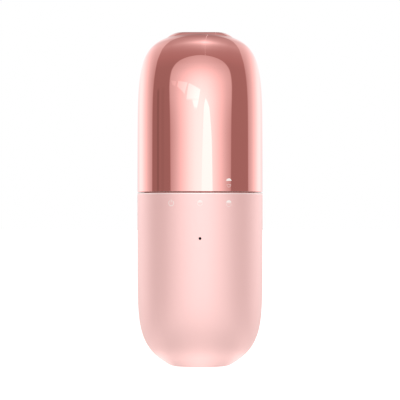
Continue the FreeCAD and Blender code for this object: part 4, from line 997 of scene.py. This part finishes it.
def foot_tread(paint):
    """Rubber pad with ring grooves in its underside."""
    turns = np.linspace(0, 2 * math.pi, PAD_COLUMNS, endpoint=False)
    section = pad_section()
    points = [(0.0, 0.0, 0.0)]
    for r, z in section:
        points += [(r * math.cos(t), r * math.sin(t), z) for t in turns]
    points.append((0.0, 0.0, PAD_THICKNESS))
    count, last = len(turns), len(points) - 1
    faces = []
    for column in range(count):
        after = (column + 1) % count
        faces += [(0, 1 + after, 1 + column), (last, last - count + column, last - count + after)]
        for ring in range(len(section) - 1):
            low, high = 1 + ring * count, 1 + (ring + 1) * count
            faces.append((low + column, low + after, high + after, high + column))
    made = piece("foot_tread", points, faces, paint, "body")
    made.data.set_sharp_from_angle(angle=math.radians(35))
    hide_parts("foot_pad")


# ---- printed marks -----------------------------------------------------------
def printed(name, paint, body, slot, turn, height, strip, closed=False):
    """A film of ink on the round wall; strip lists (outer, inner) points, in millimetres across and up.

    turn is in degrees round from the front. A closed strip ends where it starts.
    """
    count = len(strip)
    points = []
    for depth in (INK, -INK_ROOT):
        for pair in strip:
            for across, up in pair:
                angle = math.radians(turn - 90.0) + across / BODY_RADIUS
                radius = BODY_RADIUS + depth
                points.append((radius * math.cos(angle), radius * math.sin(angle), height + up))
    back = 2 * count
    faces = []
    for index in range(count if closed else count - 1):
        a, b = 2 * index, 2 * index + 1
        c, d = (2 * index + 2) % back, (2 * index + 3) % back
        faces += [(a, b, d, c), (back + a, back + c, back + d, back + b)]
        faces += [(a, c, back + c, back + a), (b, back + b, back + d, d)]
    if not closed:
        last = back - 2
        faces += [(0, back, back + 1, 1), (last, last + 1, back + last + 1, back + last)]
    piece(name, points, faces, paint, body, smooth=False)


def filled_cap(half_width, height):
    """Solid half disc standing on its flat side."""
    turns = np.radians(np.linspace(176, 4, 19))
    return [((half_width * math.cos(t), height * math.sin(t)), (half_width * math.cos(t), 0.0))
            for t in turns]


def open_bowl(half_width, depth, line):
    """Half ring, open at the top."""
    turns = np.radians(np.linspace(180, 360, 25))
    return [((half_width * math.cos(t), depth * math.sin(t)),
             ((half_width - line) * math.cos(t), (depth - line) * math.sin(t))) for t in turns]


def closed_bowl(half_width, depth, line):
    """Half ring closed by a line across its top."""
    strip = [((half_width * math.cos(t), depth * math.sin(t)),
              ((half_width - line) * math.cos(t), -line + (depth - 2 * line) * math.sin(t)))
             for t in np.radians(np.linspace(180, 360, 25))]
    for share in np.linspace(1, -1, 13)[1:-1]:
        strip.append(((half_width * share, 0.0), ((half_width - line) * share, -line)))
    return strip


def power_ring(radius, line, gap):
    """Ring open at the top; gap is half the opening, in degrees."""
    turns = np.radians(np.linspace(90 + gap, 450 - gap, 49))
    return [((radius * math.cos(t), radius * math.sin(t)),
             ((radius - line) * math.cos(t), (radius - line) * math.sin(t))) for t in turns]


def upright_bar(half_width, low, high):
    return [((-half_width, low), (half_width, low)), ((-half_width, high), (half_width, high))]


def printed_marks(paint):
    """The cup's mark, and the body's three where it points when open, closed and on."""
    closes = True
    marks = {             # degrees round, height, strip
        "cup_mark_cap": (MARK_STEP, CUP_CAP_FOOT, filled_cap(1.58, 1.32)),
        "cup_mark_bowl": (MARK_STEP, CUP_BOWL_BRIM, closed_bowl(1.15, 1.4, HAIR_LINE), closes),
        "open_mark_cap": (MARK_STEP, OPEN_CAP_FOOT, filled_cap(1.5, 1.35)),
        "open_mark_bowl": (MARK_STEP, OPEN_BOWL_BRIM, closed_bowl(1.5, 1.6, HAIR_LINE), closes),
        "closed_mark_cap": (0.0, CLOSED_CAP_FOOT, filled_cap(1.35, 1.32)),
        "closed_mark_bowl": (0.0, CLOSED_BOWL_BRIM, open_bowl(1.4, 1.5, HAIR_LINE)),
        "on_mark_ring": (-MARK_STEP, RING_MIDDLE, power_ring(1.6, FINE_LINE, 32)),
        "on_mark_bar": (-MARK_STEP, RING_MIDDLE, upright_bar(FINE_LINE / 2, 0.5, 1.85)),
    }
    for name, mark in marks.items():
        carrier = ("cup", "plated_rose") if name.startswith("cup") else ("body", "shell_satin")
        printed(name, paint, *carrier, *mark)


def dress(slot_paints):
    """Gives each carried-over solid the finish of its material slot."""
    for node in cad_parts.values():
        for index, old in enumerate(node.data.materials):
            if old.name in slot_paints:
                node.material_slots[index].material = slot_paints[old.name]


# ---- making it all -----------------------------------------------------------
SCENE.view_settings.view_transform = "Standard"
studio_camera()
studio_light()
studio_floor()
FINISHES = [plated_rose, shell_satin, inner_plastic, dark_plastic, filter_plastic, filter_paper, mesh_steel,
            silicone, pad_rubber, lens_smoked, sensor_case, circuit_board, cell_wrap, motor_steel, ferrite,
            bush_bronze, fan_aluminium, screw_steel, magnet_nickel]
PAINTS = {made.__name__: made() for made in FINISHES}
dress(PAINTS)
dust_cup(PAINTS["plated_rose"])
filter_weave(PAINTS["mesh_steel"])
foot_tread(PAINTS["pad_rubber"])
printed_marks(mark_ink())
